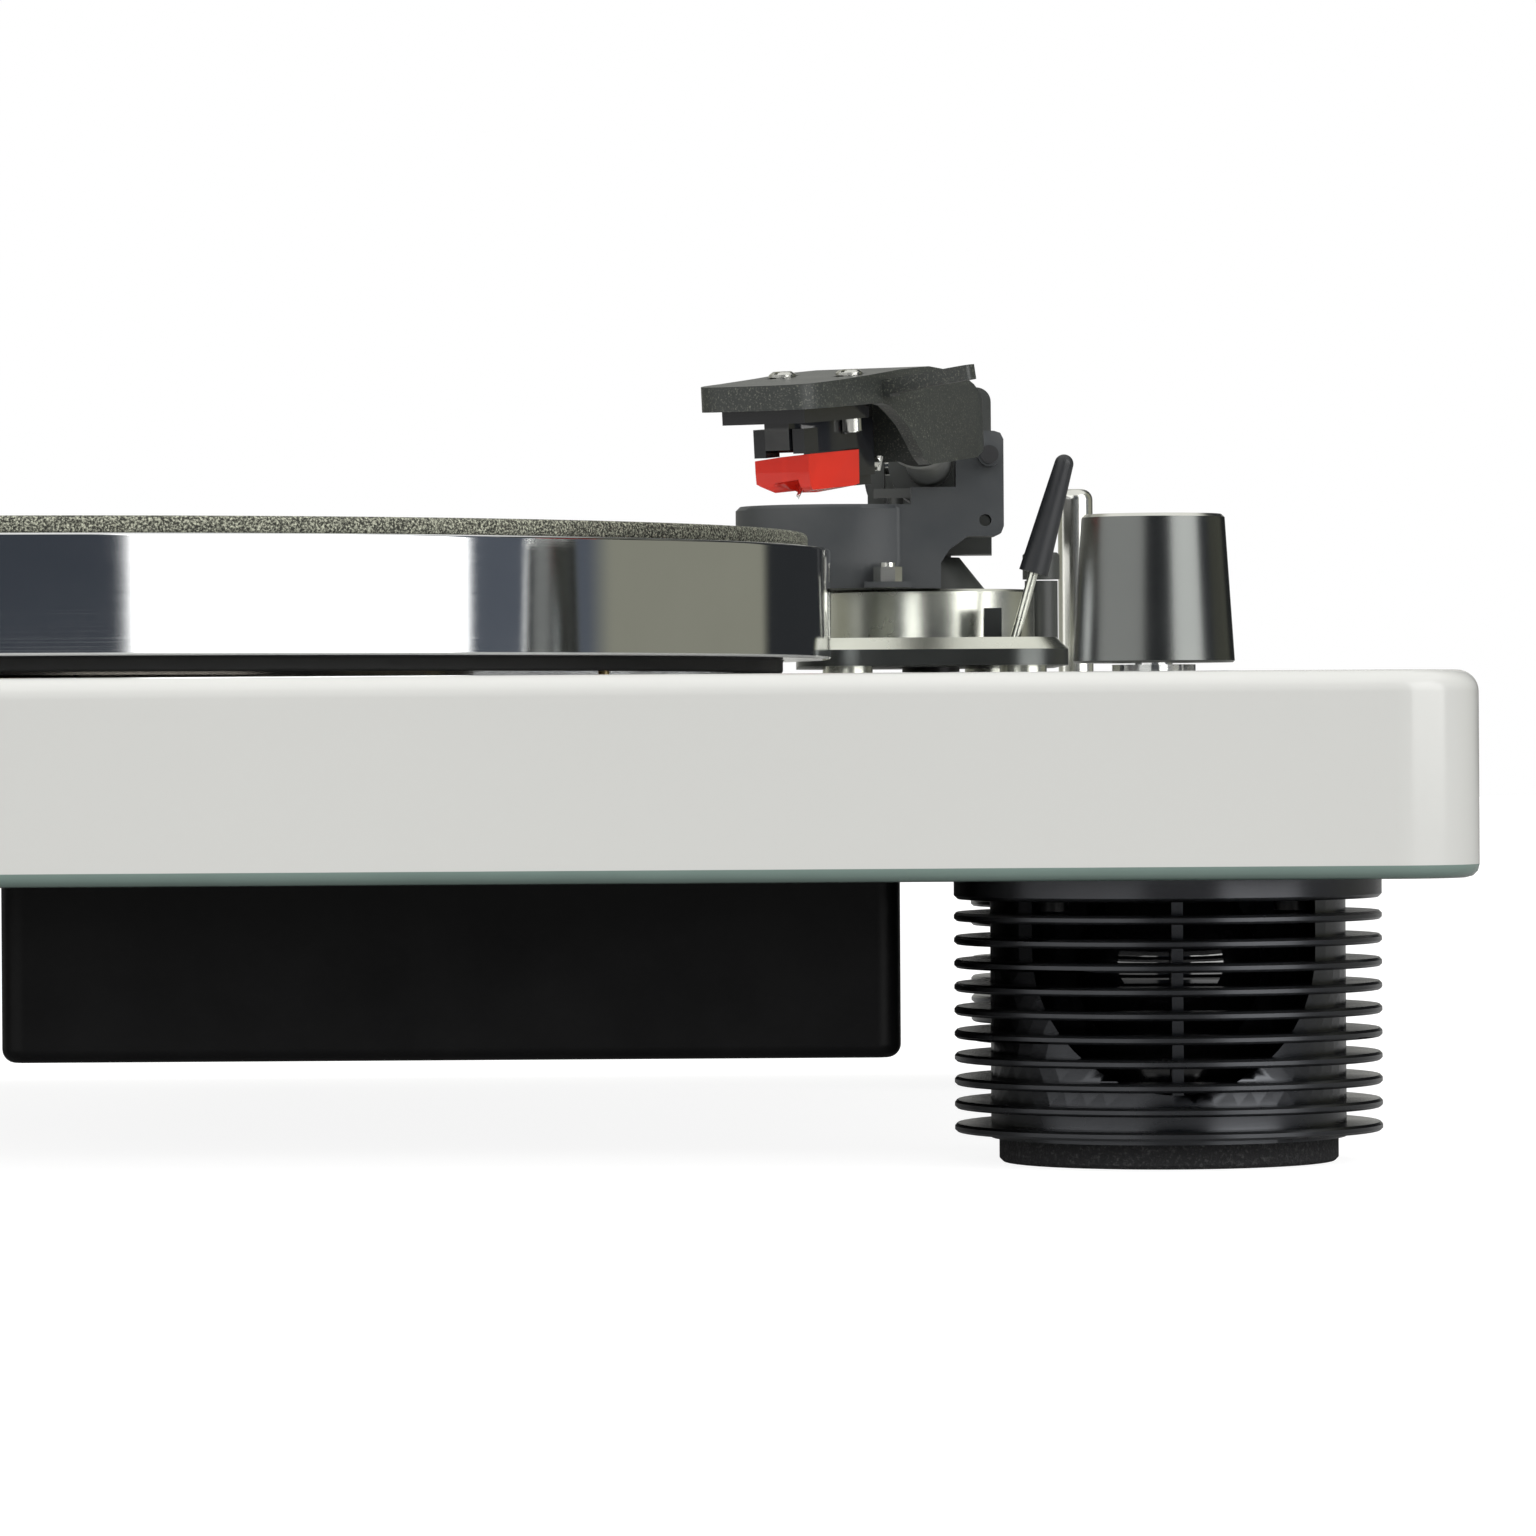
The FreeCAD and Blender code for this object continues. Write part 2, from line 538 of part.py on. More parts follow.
def platter():
    low = PLATTER_BOTTOM
    top = PLATTER_TOP
    web_low = top - PLATTER_WEB
    edge = PLATTER_RADIUS
    ring = RIM_INNER_RADIUS + DAMPING_RING_WALL
    ring_low = low - DAMPING_RING_DROP
    profile = [(CENTRING_RADIUS, web_low), (RIM_INNER_RADIUS - 3, web_low), (RIM_INNER_RADIUS, web_low - 3),
               (RIM_INNER_RADIUS, ring_low), (ring, ring_low), (ring, low), (edge - 0.5, low),
               (edge, low + 0.5), (edge, top - 0.5), (edge - 0.5, top), (CENTRING_RADIUS, top)]
    return turned(profile, SPINDLE_X, SPINDLE_Y)


def platter_mat():
    edge = MAT_RADIUS
    bore = CENTRING_RADIUS + 0.2
    profile = [(bore, PLATTER_TOP), (edge, PLATTER_TOP), (edge, MAT_TOP - 0.6), (edge - 0.6, MAT_TOP),
               (bore, MAT_TOP)]
    return turned(profile, SPINDLE_X, SPINDLE_Y)


# Control knob and its switch

def knob_shell():
    low = DECK + KNOB_LIFT
    high = low + KNOB_HEIGHT
    taper = (KNOB_LOWER_RADIUS - KNOB_UPPER_RADIUS) / KNOB_HEIGHT
    profile = [(3.0, low), (KNOB_LOWER_RADIUS, low), (KNOB_UPPER_RADIUS + 0.7 * taper, high - 0.7),
               (KNOB_UPPER_RADIUS - 0.6, high), (0, high), (0, low + 9.0), (3.0, low + 9.0)]
    return turned(profile, KNOB_X, KNOB_Y)


def knob_washer():
    return tube(6.7, 3.2, DECK, DECK + KNOB_LIFT - 0.3, KNOB_X, KNOB_Y)


def knob_shaft():
    return cylinder(3.0, PLINTH_BOTTOM + 16, DECK + KNOB_LIFT + 9.0, KNOB_X, KNOB_Y)


def rotary_switch():
    body = cylinder(8.4, PLINTH_BOTTOM + 2.0, PLINTH_BOTTOM + 14.0, KNOB_X, KNOB_Y)
    bush = tube(3.9, 3.0 + RUNNING_FIT, PLINTH_BOTTOM + 14.0, DECK - 1.0, KNOB_X, KNOB_Y)
    lugs = [block((KNOB_X - 1 + 4 * k, KNOB_X + 1 + 4 * k), (KNOB_Y - 0.4, KNOB_Y + 0.4),
                  (PLINTH_BOTTOM + 0.2, PLINTH_BOTTOM + 2.0)) for k in (-1, 0, 1)]
    body = body.cut(cylinder(3.2, PLINTH_BOTTOM + 13.0, PLINTH_BOTTOM + 15, KNOB_X, KNOB_Y))
    return joined([body, bush] + lugs)


# Tonearm base, lift, rest and bearings

LEVER_AXIS = (160.7, 80.0, 83.6)
LEVER_LEAN = 16.0
LIFT_X = 139.5
LIFT_Y = 88.4
LIFT_RADIUS = 1.2
LIFT_BOTTOM = 107.6
RAIL_Z = (113.2, 115.0)
SKATE_X = 168.0
SKATE_Y = 122.0
LATCH_PIN = (156.6, 120.8)
BRACKET_STUD = (137.4, 70.6)


def arm_base_plate():
    plate = rounded_block(ARM_BASE_X, ARM_BASE_Y, ARM_BASE_Z, 12.0)
    top = [e for e in plate.Edges if abs(e.BoundBox.ZMin - ARM_BASE_Z[1]) < 0.01]
    plate = plate.makeChamfer(2.2, top)
    cuts = [cylinder(7.0, ARM_BASE_Z[0] - 1, ARM_BASE_Z[1] + 1, PIVOT_X, PIVOT_Y)]
    for x, y in ARM_SCREWS:
        cuts.append(cylinder(M3 + 0.2, ARM_BASE_Z[0] - 1, ARM_BASE_Z[1] + 1, x, y))
        cuts.append(cylinder(3.0, ARM_BASE_Z[1] - 2.0, ARM_BASE_Z[1] + 1, x, y))
    x, y, z = LEVER_AXIS
    cuts.append(block((x - 1.5, x + 4.3), (y - 10.0, y + 4.6), (ARM_BASE_Z[0] - 1, ARM_BASE_Z[1] + 1)))
    cuts.append(rod((x - 4.2, y, z), (x + 6.6, y, z), 0.9 + RUNNING_FIT))
    stop = block((155.6, 158.9), (77.0, 83.0), (ARM_BASE_Z[1], 92.1))
    return joined([plate.cut(cuts), stop])


def arm_base_spacers():
    return group([tube(4.4, M3 + 0.3, DECK, ARM_BASE_Z[0], x, y) for x, y in ARM_SCREWS])


def arm_base_screws():
    seat = ARM_BASE_Z[1] - 2.0
    return group([screw(x, y, seat, seat + 1.7, DECK - 12, M3, 2.7) for x, y in ARM_SCREWS])


def arm_drum():
    low = ARM_BASE_Z[1]
    profile = [(5.6, low), (DRUM_RADIUS, low), (DRUM_RADIUS, DRUM_TOP - 0.5), (DRUM_RADIUS - 0.5, DRUM_TOP),
               (5.6, DRUM_TOP)]
    return turned(profile, PIVOT_X, PIVOT_Y)


def arm_pedestal():
    """The cone that carries the lateral bearing."""
    profile = [(4.05, DRUM_TOP), (10.6, DRUM_TOP), (5.6, PEDESTAL_TOP), (4.05, PEDESTAL_TOP)]
    cone = turned(profile, PIVOT_X, PIVOT_Y)
    sleeve = tube(5.5, 4.05, DECK + 2.2, DRUM_TOP, PIVOT_X, PIVOT_Y)
    return joined([cone, sleeve])


def rest_bracket():
    """A moulded bracket: a round lift housing, a neck, and a cradle with one ear for the clip."""
    outline = [(131.5, DRUM_TOP), (147.5, DRUM_TOP), (147.5, 100.6), (149.2, 103.2), (152.6, 105.6),
               (157.6, 105.6), (158.9, 106.2), (159.4, 107.5), (159.4, 123.8), (158.8, 125.0),
               (157.6, 125.4), (150.9, 125.4), (150.4, 124.9), (150.4, 114.9), (142.0, 114.9),
               (142.0, 111.7), (131.5, 111.7)]
    plate = front_plate(outline, 76.0, 86.0)
    foot = block((138.6, 147.5), (84.0, 93.0), (DRUM_TOP, 99.0))
    profile = [(0, DRUM_TOP), (17.9, DRUM_TOP), (18.7, 101.0), (18.7, 110.9), (17.9, 111.7), (0, 111.7)]
    housing = turned(profile, 127.6, 90.0)
    tab = block((133.0, 141.8), (67.2, 76.0), (DRUM_TOP, 97.0))
    body = plate.fuse([foot, housing, tab])
    ear_hole = Part.makeCylinder(1.15, 20, V(155.9, 70, 108.6), V(0, 1, 0))
    pin_hole = Part.makeCylinder(1.0, 20, V(LATCH_PIN[0], 70, LATCH_PIN[1]), V(0, 1, 0))
    lift_bore = cylinder(LIFT_RADIUS + RUNNING_FIT, LIFT_BOTTOM - 1.6, 116.0, LIFT_X, LIFT_Y)
    pivot_room = cylinder(11.6, DRUM_TOP - 1, 101.9, PIVOT_X, PIVOT_Y)
    swing_room = cylinder(14.6, 101.9, 113.0, PIVOT_X, PIVOT_Y)
    stud_hole = cylinder(M3, DRUM_TOP - 1, 98.0, BRACKET_STUD[0], BRACKET_STUD[1])
    return body.cut([ear_hole, pin_hole, lift_bore, pivot_room, swing_room, stud_hole]).removeSplitter()


def bracket_stud():
    """A short stud with a hexagon nut, in the tab at the foot of the bracket's neck."""
    x, y = BRACKET_STUD
    corners = []
    for k in range(6):
        turn = math.radians(60 * k)
        corners.append((x + 2.7 * math.cos(turn), y + 2.7 * math.sin(turn)))
    nut = extruded(corners, 97.0, 99.8)
    stud = cylinder(M3, DRUM_TOP, 100.6, x, y)
    return joined([nut, stud])


def lift_piston():
    """The damped piston that raises the rail."""
    return cylinder(LIFT_RADIUS, LIFT_BOTTOM, RAIL_Z[0], LIFT_X, LIFT_Y)


def lift_rail():
    """A curved bar under the arm tube, concentric with the arm's pivot, so it lifts the arm anywhere."""
    radius = math.hypot(PIVOT_X - LIFT_X, PIVOT_Y - LIFT_Y)
    ring = tube(radius + 0.9, radius - 0.9, RAIL_Z[0], RAIL_Z[1], PIVOT_X, PIVOT_Y)
    wedge = Part.makeCylinder(radius + 5, 4, V(PIVOT_X, PIVOT_Y, RAIL_Z[0] - 1), UP, 28)
    wedge.rotate(V(PIVOT_X, PIVOT_Y, 0), UP, 232)
    return ring.common(wedge)


def rest_latch():
    """A crescent strap, pinned to the ear, that turns in over the shoulder of the arm tube."""
    x, z = LATCH_PIN
    outer = [(x + 1.6, z + 1.8), (x - 1.0, z + 3.6), (x - 3.2, z + 5.0), (x - 5.6, z + 5.9)]
    inner = [(x - 5.6, z + 4.6), (x - 3.6, z + 3.2), (x - 1.8, z + 1.4), (x - 1.6, z - 1.2),
             (x + 1.6, z - 1.2)]
    strap = front_plate(outer + inner, 71.4, 75.6)
    eye = Part.makeCylinder(2.2, 4.2, V(x, 71.4, z), V(0, 1, 0))
    return joined([strap, eye]).cut(Part.makeCylinder(1.0 + RUNNING_FIT, 10, V(x, 70, z), V(0, 1, 0)))


def latch_pin():
    x, z = LATCH_PIN
    head = rod((x, 70.4, z), (x, 71.2, z), 1.7)
    return joined([head, rod((x, 71.2, z), (x, 87.0, z), 1.0)])


def cue_lever():
    """A rod that leans outwards from a cross pin in the base plate's slot."""
    x, y, z = LEVER_AXIS
    slope = math.tan(math.radians(LEVER_LEAN))
    top_z = 104.0
    upright = rod((x, y, z), (x + slope * (top_z - z), y, top_z), 0.9)
    hub = rod((x - 1.1, y, z), (x + 1.8, y, z), 2.4)
    pin = rod((x - 4.0, y, z), (x + 6.4, y, z), 0.9)
    return joined([upright, hub, pin])


def lever_grip():
    x, y, z = LEVER_AXIS
    slope = math.tan(math.radians(LEVER_LEAN))
    low = 98.7
    high = 119.2
    grip = tapered_rod((x + slope * (low - z), y, low), (x + slope * (high - z), y, high), 2.8, 1.8)
    tip = Part.makeSphere(1.8, V(x + slope * (high - z), y, high))
    core = rod((x + slope * (low - 1 - z), y, low - 1), (x + slope * (104.0 - z), y, 104.0), 0.9)
    return joined([grip, tip]).cut(core)


def skate_column():
    """The anti-skate unit's column, with its bias spring inside."""
    return cylinder(3.2, ARM_BASE_Z[1], 98.0, SKATE_X, SKATE_Y)


def skate_dial():
    low = 98.3
    high = 103.5
    dial = turned([(0, low), (3.6, low), (3.6, high - 0.5), (3.1, high), (0, high)], SKATE_X, SKATE_Y)
    pointer = block((SKATE_X - 0.4, SKATE_X + 0.4), (SKATE_Y - 4.0, SKATE_Y), (high - 0.4, high + 0.4))
    return dial.cut(pointer)


def rear_post():
    """A bright post with a domed top, for the arm's side weight or an accessory."""
    x = 176.8
    y = 173.5
    top = 117.4
    return turned([(0, DECK), (3.5, DECK), (3.5, top - 1.6), (3.0, top - 0.6), (2.0, top), (0, top)], x, y)


# Arm parts are built with the arm pointing straight to the front, then turned to its rest angle

def on_arm(shape):
    placed = shape.copy()
    placed.rotate(V(PIVOT_X, PIVOT_Y, 0), UP, math.degrees(ARM_ANGLE))
    return placed


def forward_rod(near, far, radius):
    """A round bar along the arm, between two distances in front of the pivot."""
    return rod((PIVOT_X, PIVOT_Y - near, ARM_Z), (PIVOT_X, PIVOT_Y - far, ARM_Z), radius)


def arm_yoke():
    """A closed frame that turns on the pedestal and holds the pivot screws."""
    half = YOKE_HALF_WIDTH
    low = PEDESTAL_TOP + 0.5
    frame = block((PIVOT_X - half, PIVOT_X + half), (PIVOT_Y - 7, PIVOT_Y + 7), (low, YOKE_TOP))
    upper = [e for e in frame.Edges
             if abs(e.tangentAt(e.FirstParameter).y) > 0.99 and e.BoundBox.ZMin > YOKE_TOP - 1]
    frame = frame.makeFillet(2.8, upper)
    window = block((PIVOT_X - 8.6, PIVOT_X + 8.6), (PIVOT_Y - 8, PIVOT_Y + 8), (ARM_Z - 9.6, ARM_Z + 9.6))
    shaft = cylinder(4.0, DECK + 3.0, low, PIVOT_X, PIVOT_Y)
    body = joined([frame.cut(window), shaft])
    bore = rod((PIVOT_X - 20, PIVOT_Y, ARM_Z), (PIVOT_X + 20, PIVOT_Y, ARM_Z), 1.6)
    return on_arm(body.cut(bore))


def pivot_screws():
    pieces = []
    for side in (1, -1):
        inner = PIVOT_X + side * 6.2
        outer = PIVOT_X + side * 12.0
        pieces.append(on_arm(rod((inner, PIVOT_Y, ARM_Z), (outer, PIVOT_Y, ARM_Z), 1.6)))
    return group(pieces)


def arm_hub():
    """The bearing block that the tube passes through."""
    body = forward_rod(-9.0, 9.0, 7.8)
    body = body.cut(forward_rod(-10.0, 10.0, TUBE_RADIUS))
    for side in (1, -1):
        inner = PIVOT_X + side * 5.8
        outer = PIVOT_X + side * 9.0
        body = body.cut(rod((inner, PIVOT_Y, ARM_Z), (outer, PIVOT_Y, ARM_Z), 1.6 + RUNNING_FIT))
    return on_arm(body)


def arm_tube():
    """A thin-walled tube through the hub, with a solid counterweight stub plugged into its back."""
    shell = forward_rod(-12.0, 182.0, TUBE_RADIUS).cut(forward_rod(-11.0, 183.0, TUBE_RADIUS - 0.7))
    stub = forward_rod(-70.0, -11.0, TUBE_RADIUS)
    return on_arm(joined([shell, stub]))


def arm_collar():
    ring = forward_rod(176.0, 188.6, 6.6)
    return on_arm(ring.cut(forward_rod(175.0, 182.0, TUBE_RADIUS)))


def counterweight():
    body = forward_rod(-66.0, -39.0, 13.3).cut(forward_rod(-70.0, -30.0, TUBE_RADIUS + RUNNING_FIT))
    groove = forward_rod(-62.0, -60.5, 14.0).cut(forward_rod(-63.0, -60.0, 12.7))
    return on_arm(body.cut(groove))


def force_dial():
    ring = forward_rod(-35.4, -30.4, 10.2).cut(forward_rod(-40.0, -25.0, TUBE_RADIUS + RUNNING_FIT))
    return on_arm(ring)


# Head shell and cartridge, in the local frame with the stylus tip at zero

def nose_outline():
    """The shell's plan, with a round nose and a tail that narrows towards the collar."""
    nose = []
    for k in range(37):
        turn = math.radians(-90 + 5 * k)
        along = abs(math.cos(turn)) ** 0.5
        across = math.copysign(abs(math.sin(turn)) ** 0.5, turn)
        nose.append((NOSE_CENTRE + NOSE_REACH * along, SHELL_HALF_WIDTH * across))
    right = [(-24.0, 10.9), (-34.0, 9.6), (-44.0, 8.0), (-49.0, 6.4), (-51.2, 3.6)]
    left = [(-51.2, -3.0), (-48.0, -7.4), (-41.0, -9.6), (-33.0, -10.5), (-24.0, -10.9)]
    return nose + right + left


def head_shell():
    """A flat nose with a hooded tail: side skirts arch down behind the cartridge to the collar."""
    side = [(14.8, 18.9), (4.0, 19.2), (-6.0, 19.6), (-16.0, 20.1), (-25.0, 20.2), (-33.0, 19.3),
            (-41.0, 17.6), (-47.0, 15.4), (-50.4, 13.2), (-51.4, 10.4), (-50.6, 7.4), (-48.0, 5.2),
            (-44.0, 4.4), (-23.5, 4.2), (-21.6, 5.6), (-19.6, 8.0), (-17.0, 10.8), (-14.2, 12.8),
            (-11.5, 14.4), (-9.0, 14.9), (14.8, 14.9)]
    points = [V(u, -20, w) for u, w in side]
    profile = Part.Face(Part.makePolygon(points + points[:1])).extrude(V(0, 40, 0))
    body = profile.common(extruded(nose_outline(), 0, 30))
    hood = block((-36.0, -7.0), (-8.8, 8.8), (0.0, 16.0))
    hood = hood.cut(block((-36.1, -28.0), (6.0, 9.0), (-1.0, 18.0)))
    body = body.cut(hood)
    for v in (-6.35, 6.35):
        slot = block((SCREW_U - 3.4, SCREW_U + 3.4), (v - 1.35, v + 1.35), (10, 25))
        body = body.cut(slot)
    shell = in_head_frame(body).cut([on_arm(forward_rod(165.0, 188.6, 7.0)), finger_lift()])
    neck = on_arm(forward_rod(188.6, 193.5, 5.6))
    return joined([shell, neck])


def finger_lift():
    bar = block((-12.6, -9.4), (10.95, 27.4), (16.2, 18.6))
    upright = [e for e in bar.Edges if abs(e.tangentAt(e.FirstParameter).z) > 0.99 and e.BoundBox.YMin > 20]
    bar = bar.makeFillet(1.2, upright)
    bar.rotate(V(-11, 10.95, 17), V(1, 0, 0), 7.0)
    root = block((-12.6, -9.4), (10.9, 12.4), (15.8, 18.4))
    return in_head_frame(joined([bar, root]))


def cartridge_body():
    """Mount plate, pillars and the coil housing with chamfered front corners."""
    plate = block((-10.3, 9.6), (-7.8, 7.8), (12.6, 14.9))
    front = [(2.4, -2.2), (2.4, 2.2), (-3.6, 5.2), (-15.6, 5.2), (-17.2, 3.6), (-17.2, -3.6), (-15.6, -5.2),
             (-3.6, -5.2)]
    housing = extruded(front, 3.2, 12.6)
    slot = block((-10.6, 4.0), (-6.0, 6.0), (0.0, 7.7))
    pillar = block((2.0, 5.6), (-2.4, 2.2), (8.2, 12.6))
    lugs = [block((1.0, 5.2), (v - 1.1, v + 1.1), (low, 11.6)) for v, low in ((-3.7, 7.0), (3.7, 7.6))]
    keel_outline = [(-10.5, -4.2), (-10.5, 4.2), (-15.8, 4.2), (-16.9, 3.2), (-16.9, -3.2), (-15.8, -4.2)]
    keel = extruded(keel_outline, 1.6, 3.4)
    body = joined([plate, housing.cut(slot), pillar, keel] + lugs)
    for v in (-6.35, 6.35):
        body = body.cut([cylinder(1.3, 11, 16, SCREW_U, v), cylinder(1.9, 10.2, 12.6, SCREW_U, v)])
    return in_head_frame(body)


def cartridge_screws():
    pieces = []
    for v in (-6.35, 6.35):
        head = turned([(0, 19.7), (2.2, 19.7), (2.2, 20.1), (1.5, 20.6), (0, 20.6)], SCREW_U, v)
        shank = cylinder(1.25, 10.4, 19.8, SCREW_U, v)
        nut = cylinder(1.7, 10.6, 12.6, SCREW_U, v)
        drive = block((SCREW_U - 2.5, SCREW_U + 2.5), (v - 0.3, v + 0.3), (20.2, 21.5))
        pieces.append(in_head_frame(joined([head, shank, nut]).cut(drive)))
    return group(pieces)


def cartridge_pins():
    """Four output pins at the back of the cartridge, each with its lead clip hanging down."""
    pieces = []
    for v, w, drop in ((-3.0, 5.0, 1.4), (3.0, 5.0, 1.4), (-1.2, 10.6, 3.6), (1.2, 10.6, 3.6)):
        pin = rod((-17.2, v, w), (-20.4, v, w), 0.6)
        clip = tapered_rod((-20.4, v, w + 0.9), (-20.0, v, w - drop), 0.85, 0.5)
        pieces.append(in_head_frame(joined([pin, clip])))
    return group(pieces)


def stylus_guard():
    """The removable stylus carrier: a clear moulding that slides on to the cartridge from the front."""
    front = [(-5.5, 6.5), (-5.4, 3.0), (-1.6, 1.0), (1.6, 1.0), (5.4, 1.7), (5.6, 7.5), (0.0, 7.1)]
    points = [V(-11, v, w) for v, w in front]
    hull = Part.Face(Part.makePolygon(points + points[:1])).extrude(V(17, 0, 0))
    plan = [(4.8, -5.0), (4.8, 5.2), (-10.2, 5.7), (-10.2, -5.7)]
    side = [(5.1, 8), (4.6, 2.4), (3.2, 0.9), (-3.0, 0.9), (-10.3, 2.0), (-10.3, 8)]
    points = [V(u, -7, w) for u, w in side]
    trim = Part.Face(Part.makePolygon(points + points[:1])).extrude(V(0, 14, 0))
    shell = hull.common(extruded(plan, 0.0, 8.0)).common(trim)
    mouth = [V(6.0, v, w) for v, w in [(-2.6, 0.0), (-1.6, 2.9), (3.0, 3.4), (3.8, 0.0)]]
    mouth = Part.Face(Part.makePolygon(mouth + mouth[:1])).extrude(V(-8.6, 0, 0))
    return in_head_frame(shell.cut([mouth, cantilever_arm()]))


def cantilever_arm():
    return tapered_rod((-2.6, 0, 3.15), (0.2, 0, 0.55), 0.35, 0.3)


def stylus_cantilever():
    """A thin tube from the carrier down to the diamond tip."""
    tip = Part.makeCone(0.0, 0.3, 0.9, V(0, 0, 0), UP)
    return in_head_frame(joined([cantilever_arm(), tip]))


NODES = {
    "plinth_slab": plinth_slab,
    "box_shell": box_shell,
    "box_screws": box_screws,
    "rear_panel": rear_panel,
    "rca_sockets": rca_sockets,
    "ground_post": ground_post,
    "usb_port": usb_port,
    "power_socket": power_socket,
    "rocker_bezel": rocker_bezel,
    "rocker_button": rocker_button,
    "main_board": main_board,
    "motor_can": motor_can,
    "motor_plate": motor_plate,
    "motor_pulley": motor_pulley,
    "drive_belt": drive_belt,
    "foot_screws": foot_screws,
    "bearing_housing": bearing_housing,
    "thrust_ball": thrust_ball,
    "spindle_shaft": spindle_shaft,
    "sub_platter": sub_platter,
    "platter": platter,
    "platter_mat": platter_mat,
    "knob_shell": knob_shell,
    "knob_washer": knob_washer,
    "knob_shaft": knob_shaft,
    "rotary_switch": rotary_switch,
    "arm_base_plate": arm_base_plate,
    "arm_base_spacers": arm_base_spacers,
    "arm_base_screws": arm_base_screws,
    "arm_drum": arm_drum,
    "arm_pedestal": arm_pedestal,
    "rest_bracket": rest_bracket,
    "bracket_stud": bracket_stud,
    "lift_piston": lift_piston,
    "lift_rail": lift_rail,
    "rest_latch": rest_latch,
    "latch_pin": latch_pin,
    "cue_lever": cue_lever,
    "lever_grip": lever_grip,
    "skate_column": skate_column,
    "skate_dial": skate_dial,
    "rear_post": rear_post,
    "arm_yoke": arm_yoke,
    "pivot_screws": pivot_screws,
    "arm_hub": arm_hub,
    "arm_tube": arm_tube,
    "arm_collar": arm_collar,
    "counterweight": counterweight,
    "force_dial": force_dial,
    "head_shell": head_shell,
    "finger_lift": finger_lift,
    "cartridge_body": cartridge_body,
    "cartridge_screws": cartridge_screws,
    "cartridge_pins": cartridge_pins,
    "stylus_guard": stylus_guard,
    "stylus_cantilever": stylus_cantilever,
}


def main():
    os.makedirs("parts", exist_ok=True)
    shapes = {name: make() for name, make in NODES.items()}
    for piece, make in (("foot_body", foot_body), ("foot_pad", foot_pad), ("isolator_cup", isolator_cup),
                        ("isolator_ball", isolator_ball)):
        shapes[piece] = group(at_feet(make))
    for name, shape in shapes.items():
        shape.exportStep("parts/" + name + ".step")
        print(name, len(shape.Solids), "solids", round(shape.Volume / 1000, 2), "cm3",
              "valid" if shape.isValid() else "NOT VALID")


main()
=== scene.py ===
# %% [markdown]
# # A glass-plinth record player
#
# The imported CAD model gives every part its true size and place. This script keeps those places
# and makes the surfaces: a coated glass slab, a mirror-turned platter with a felt mat, a black
# moulded tonearm head with a clear red stylus guard, and four finned feet.
#
# Everything is in metres, in the model's own frame: +X right, +Y back, +Z up, floor at zero.

# %% Load the frame
import json
import math

import bmesh
import bpy
from mathutils import Matrix, Vector


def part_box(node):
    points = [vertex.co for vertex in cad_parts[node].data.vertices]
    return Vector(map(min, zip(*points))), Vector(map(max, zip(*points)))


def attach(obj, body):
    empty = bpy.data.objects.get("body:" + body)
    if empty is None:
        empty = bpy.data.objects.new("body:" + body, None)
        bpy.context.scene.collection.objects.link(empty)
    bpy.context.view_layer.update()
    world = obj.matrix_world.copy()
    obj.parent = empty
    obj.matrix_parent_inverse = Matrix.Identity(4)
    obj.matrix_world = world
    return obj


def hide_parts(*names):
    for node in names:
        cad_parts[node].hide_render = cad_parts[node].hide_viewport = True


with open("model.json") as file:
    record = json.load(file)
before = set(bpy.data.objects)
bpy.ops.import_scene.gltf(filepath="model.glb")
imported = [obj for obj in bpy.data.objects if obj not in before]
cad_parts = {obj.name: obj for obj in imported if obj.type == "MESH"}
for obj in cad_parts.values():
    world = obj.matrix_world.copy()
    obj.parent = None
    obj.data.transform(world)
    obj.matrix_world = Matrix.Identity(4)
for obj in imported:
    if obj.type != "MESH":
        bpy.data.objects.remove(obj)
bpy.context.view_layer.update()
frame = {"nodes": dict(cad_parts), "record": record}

MM = 0.001
print("parts in the frame:", len(frame["nodes"]))

# %% [markdown]
# ## Camera
#
# A long lens, set low and square to the front, so the deck's top is seen edge-on. The camera
# sits just under the level of the deck and is tipped and rolled by a fraction of a degree,
# as a hand-levelled studio camera is.

# %% Camera
deck_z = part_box("plinth_slab")[1][2]
front_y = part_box("plinth_slab")[0][1]

CAMERA_DISTANCE = 1150 * MM
CAMERA_SIDE = 114.75 * MM
CAMERA_BELOW_DECK = 8.7 * MM
LENS = 175.9
TIP_DOWN = math.radians(0.29)
ROLL = math.radians(-0.37)

camera_data = bpy.data.cameras.new("camera")
camera_data.lens = LENS
camera_data.sensor_width = 36.0
camera_data.clip_start = 0.05
camera = bpy.data.objects.new("camera", camera_data)
place = Matrix.Translation((CAMERA_SIDE, front_y - CAMERA_DISTANCE, deck_z - CAMERA_BELOW_DECK))
aim = Matrix.Rotation(math.radians(90) - TIP_DOWN, 4, "X") @ Matrix.Rotation(ROLL, 4, "Z")
camera.matrix_world = place @ aim
bpy.context.scene.collection.objects.link(camera)
bpy.context.scene.camera = camera
print("camera height:", round(deck_z - CAMERA_BELOW_DECK, 4), "m")

# %% [markdown]
# ## Studio
#
# Polished metal shows the room round it, so the room is set out like a product studio: a
# bright soft box to the right, a weaker one to the left, dark gaps between them, and an olive
# wall behind. The bands are a colour ramp over the compass direction, measured from the front.
# The camera itself sees plain white.

# %% Studio room
def node_link(tree):
    """Short forms for adding and joining nodes in a tree."""
    def add(kind, **values):
        node = tree.nodes.new(kind)
        for key, value in values.items():
            if key in node.inputs:
                node.inputs[key].default_value = value
            else:
                setattr(node, key, value)
        return node
    return add, tree.links.new


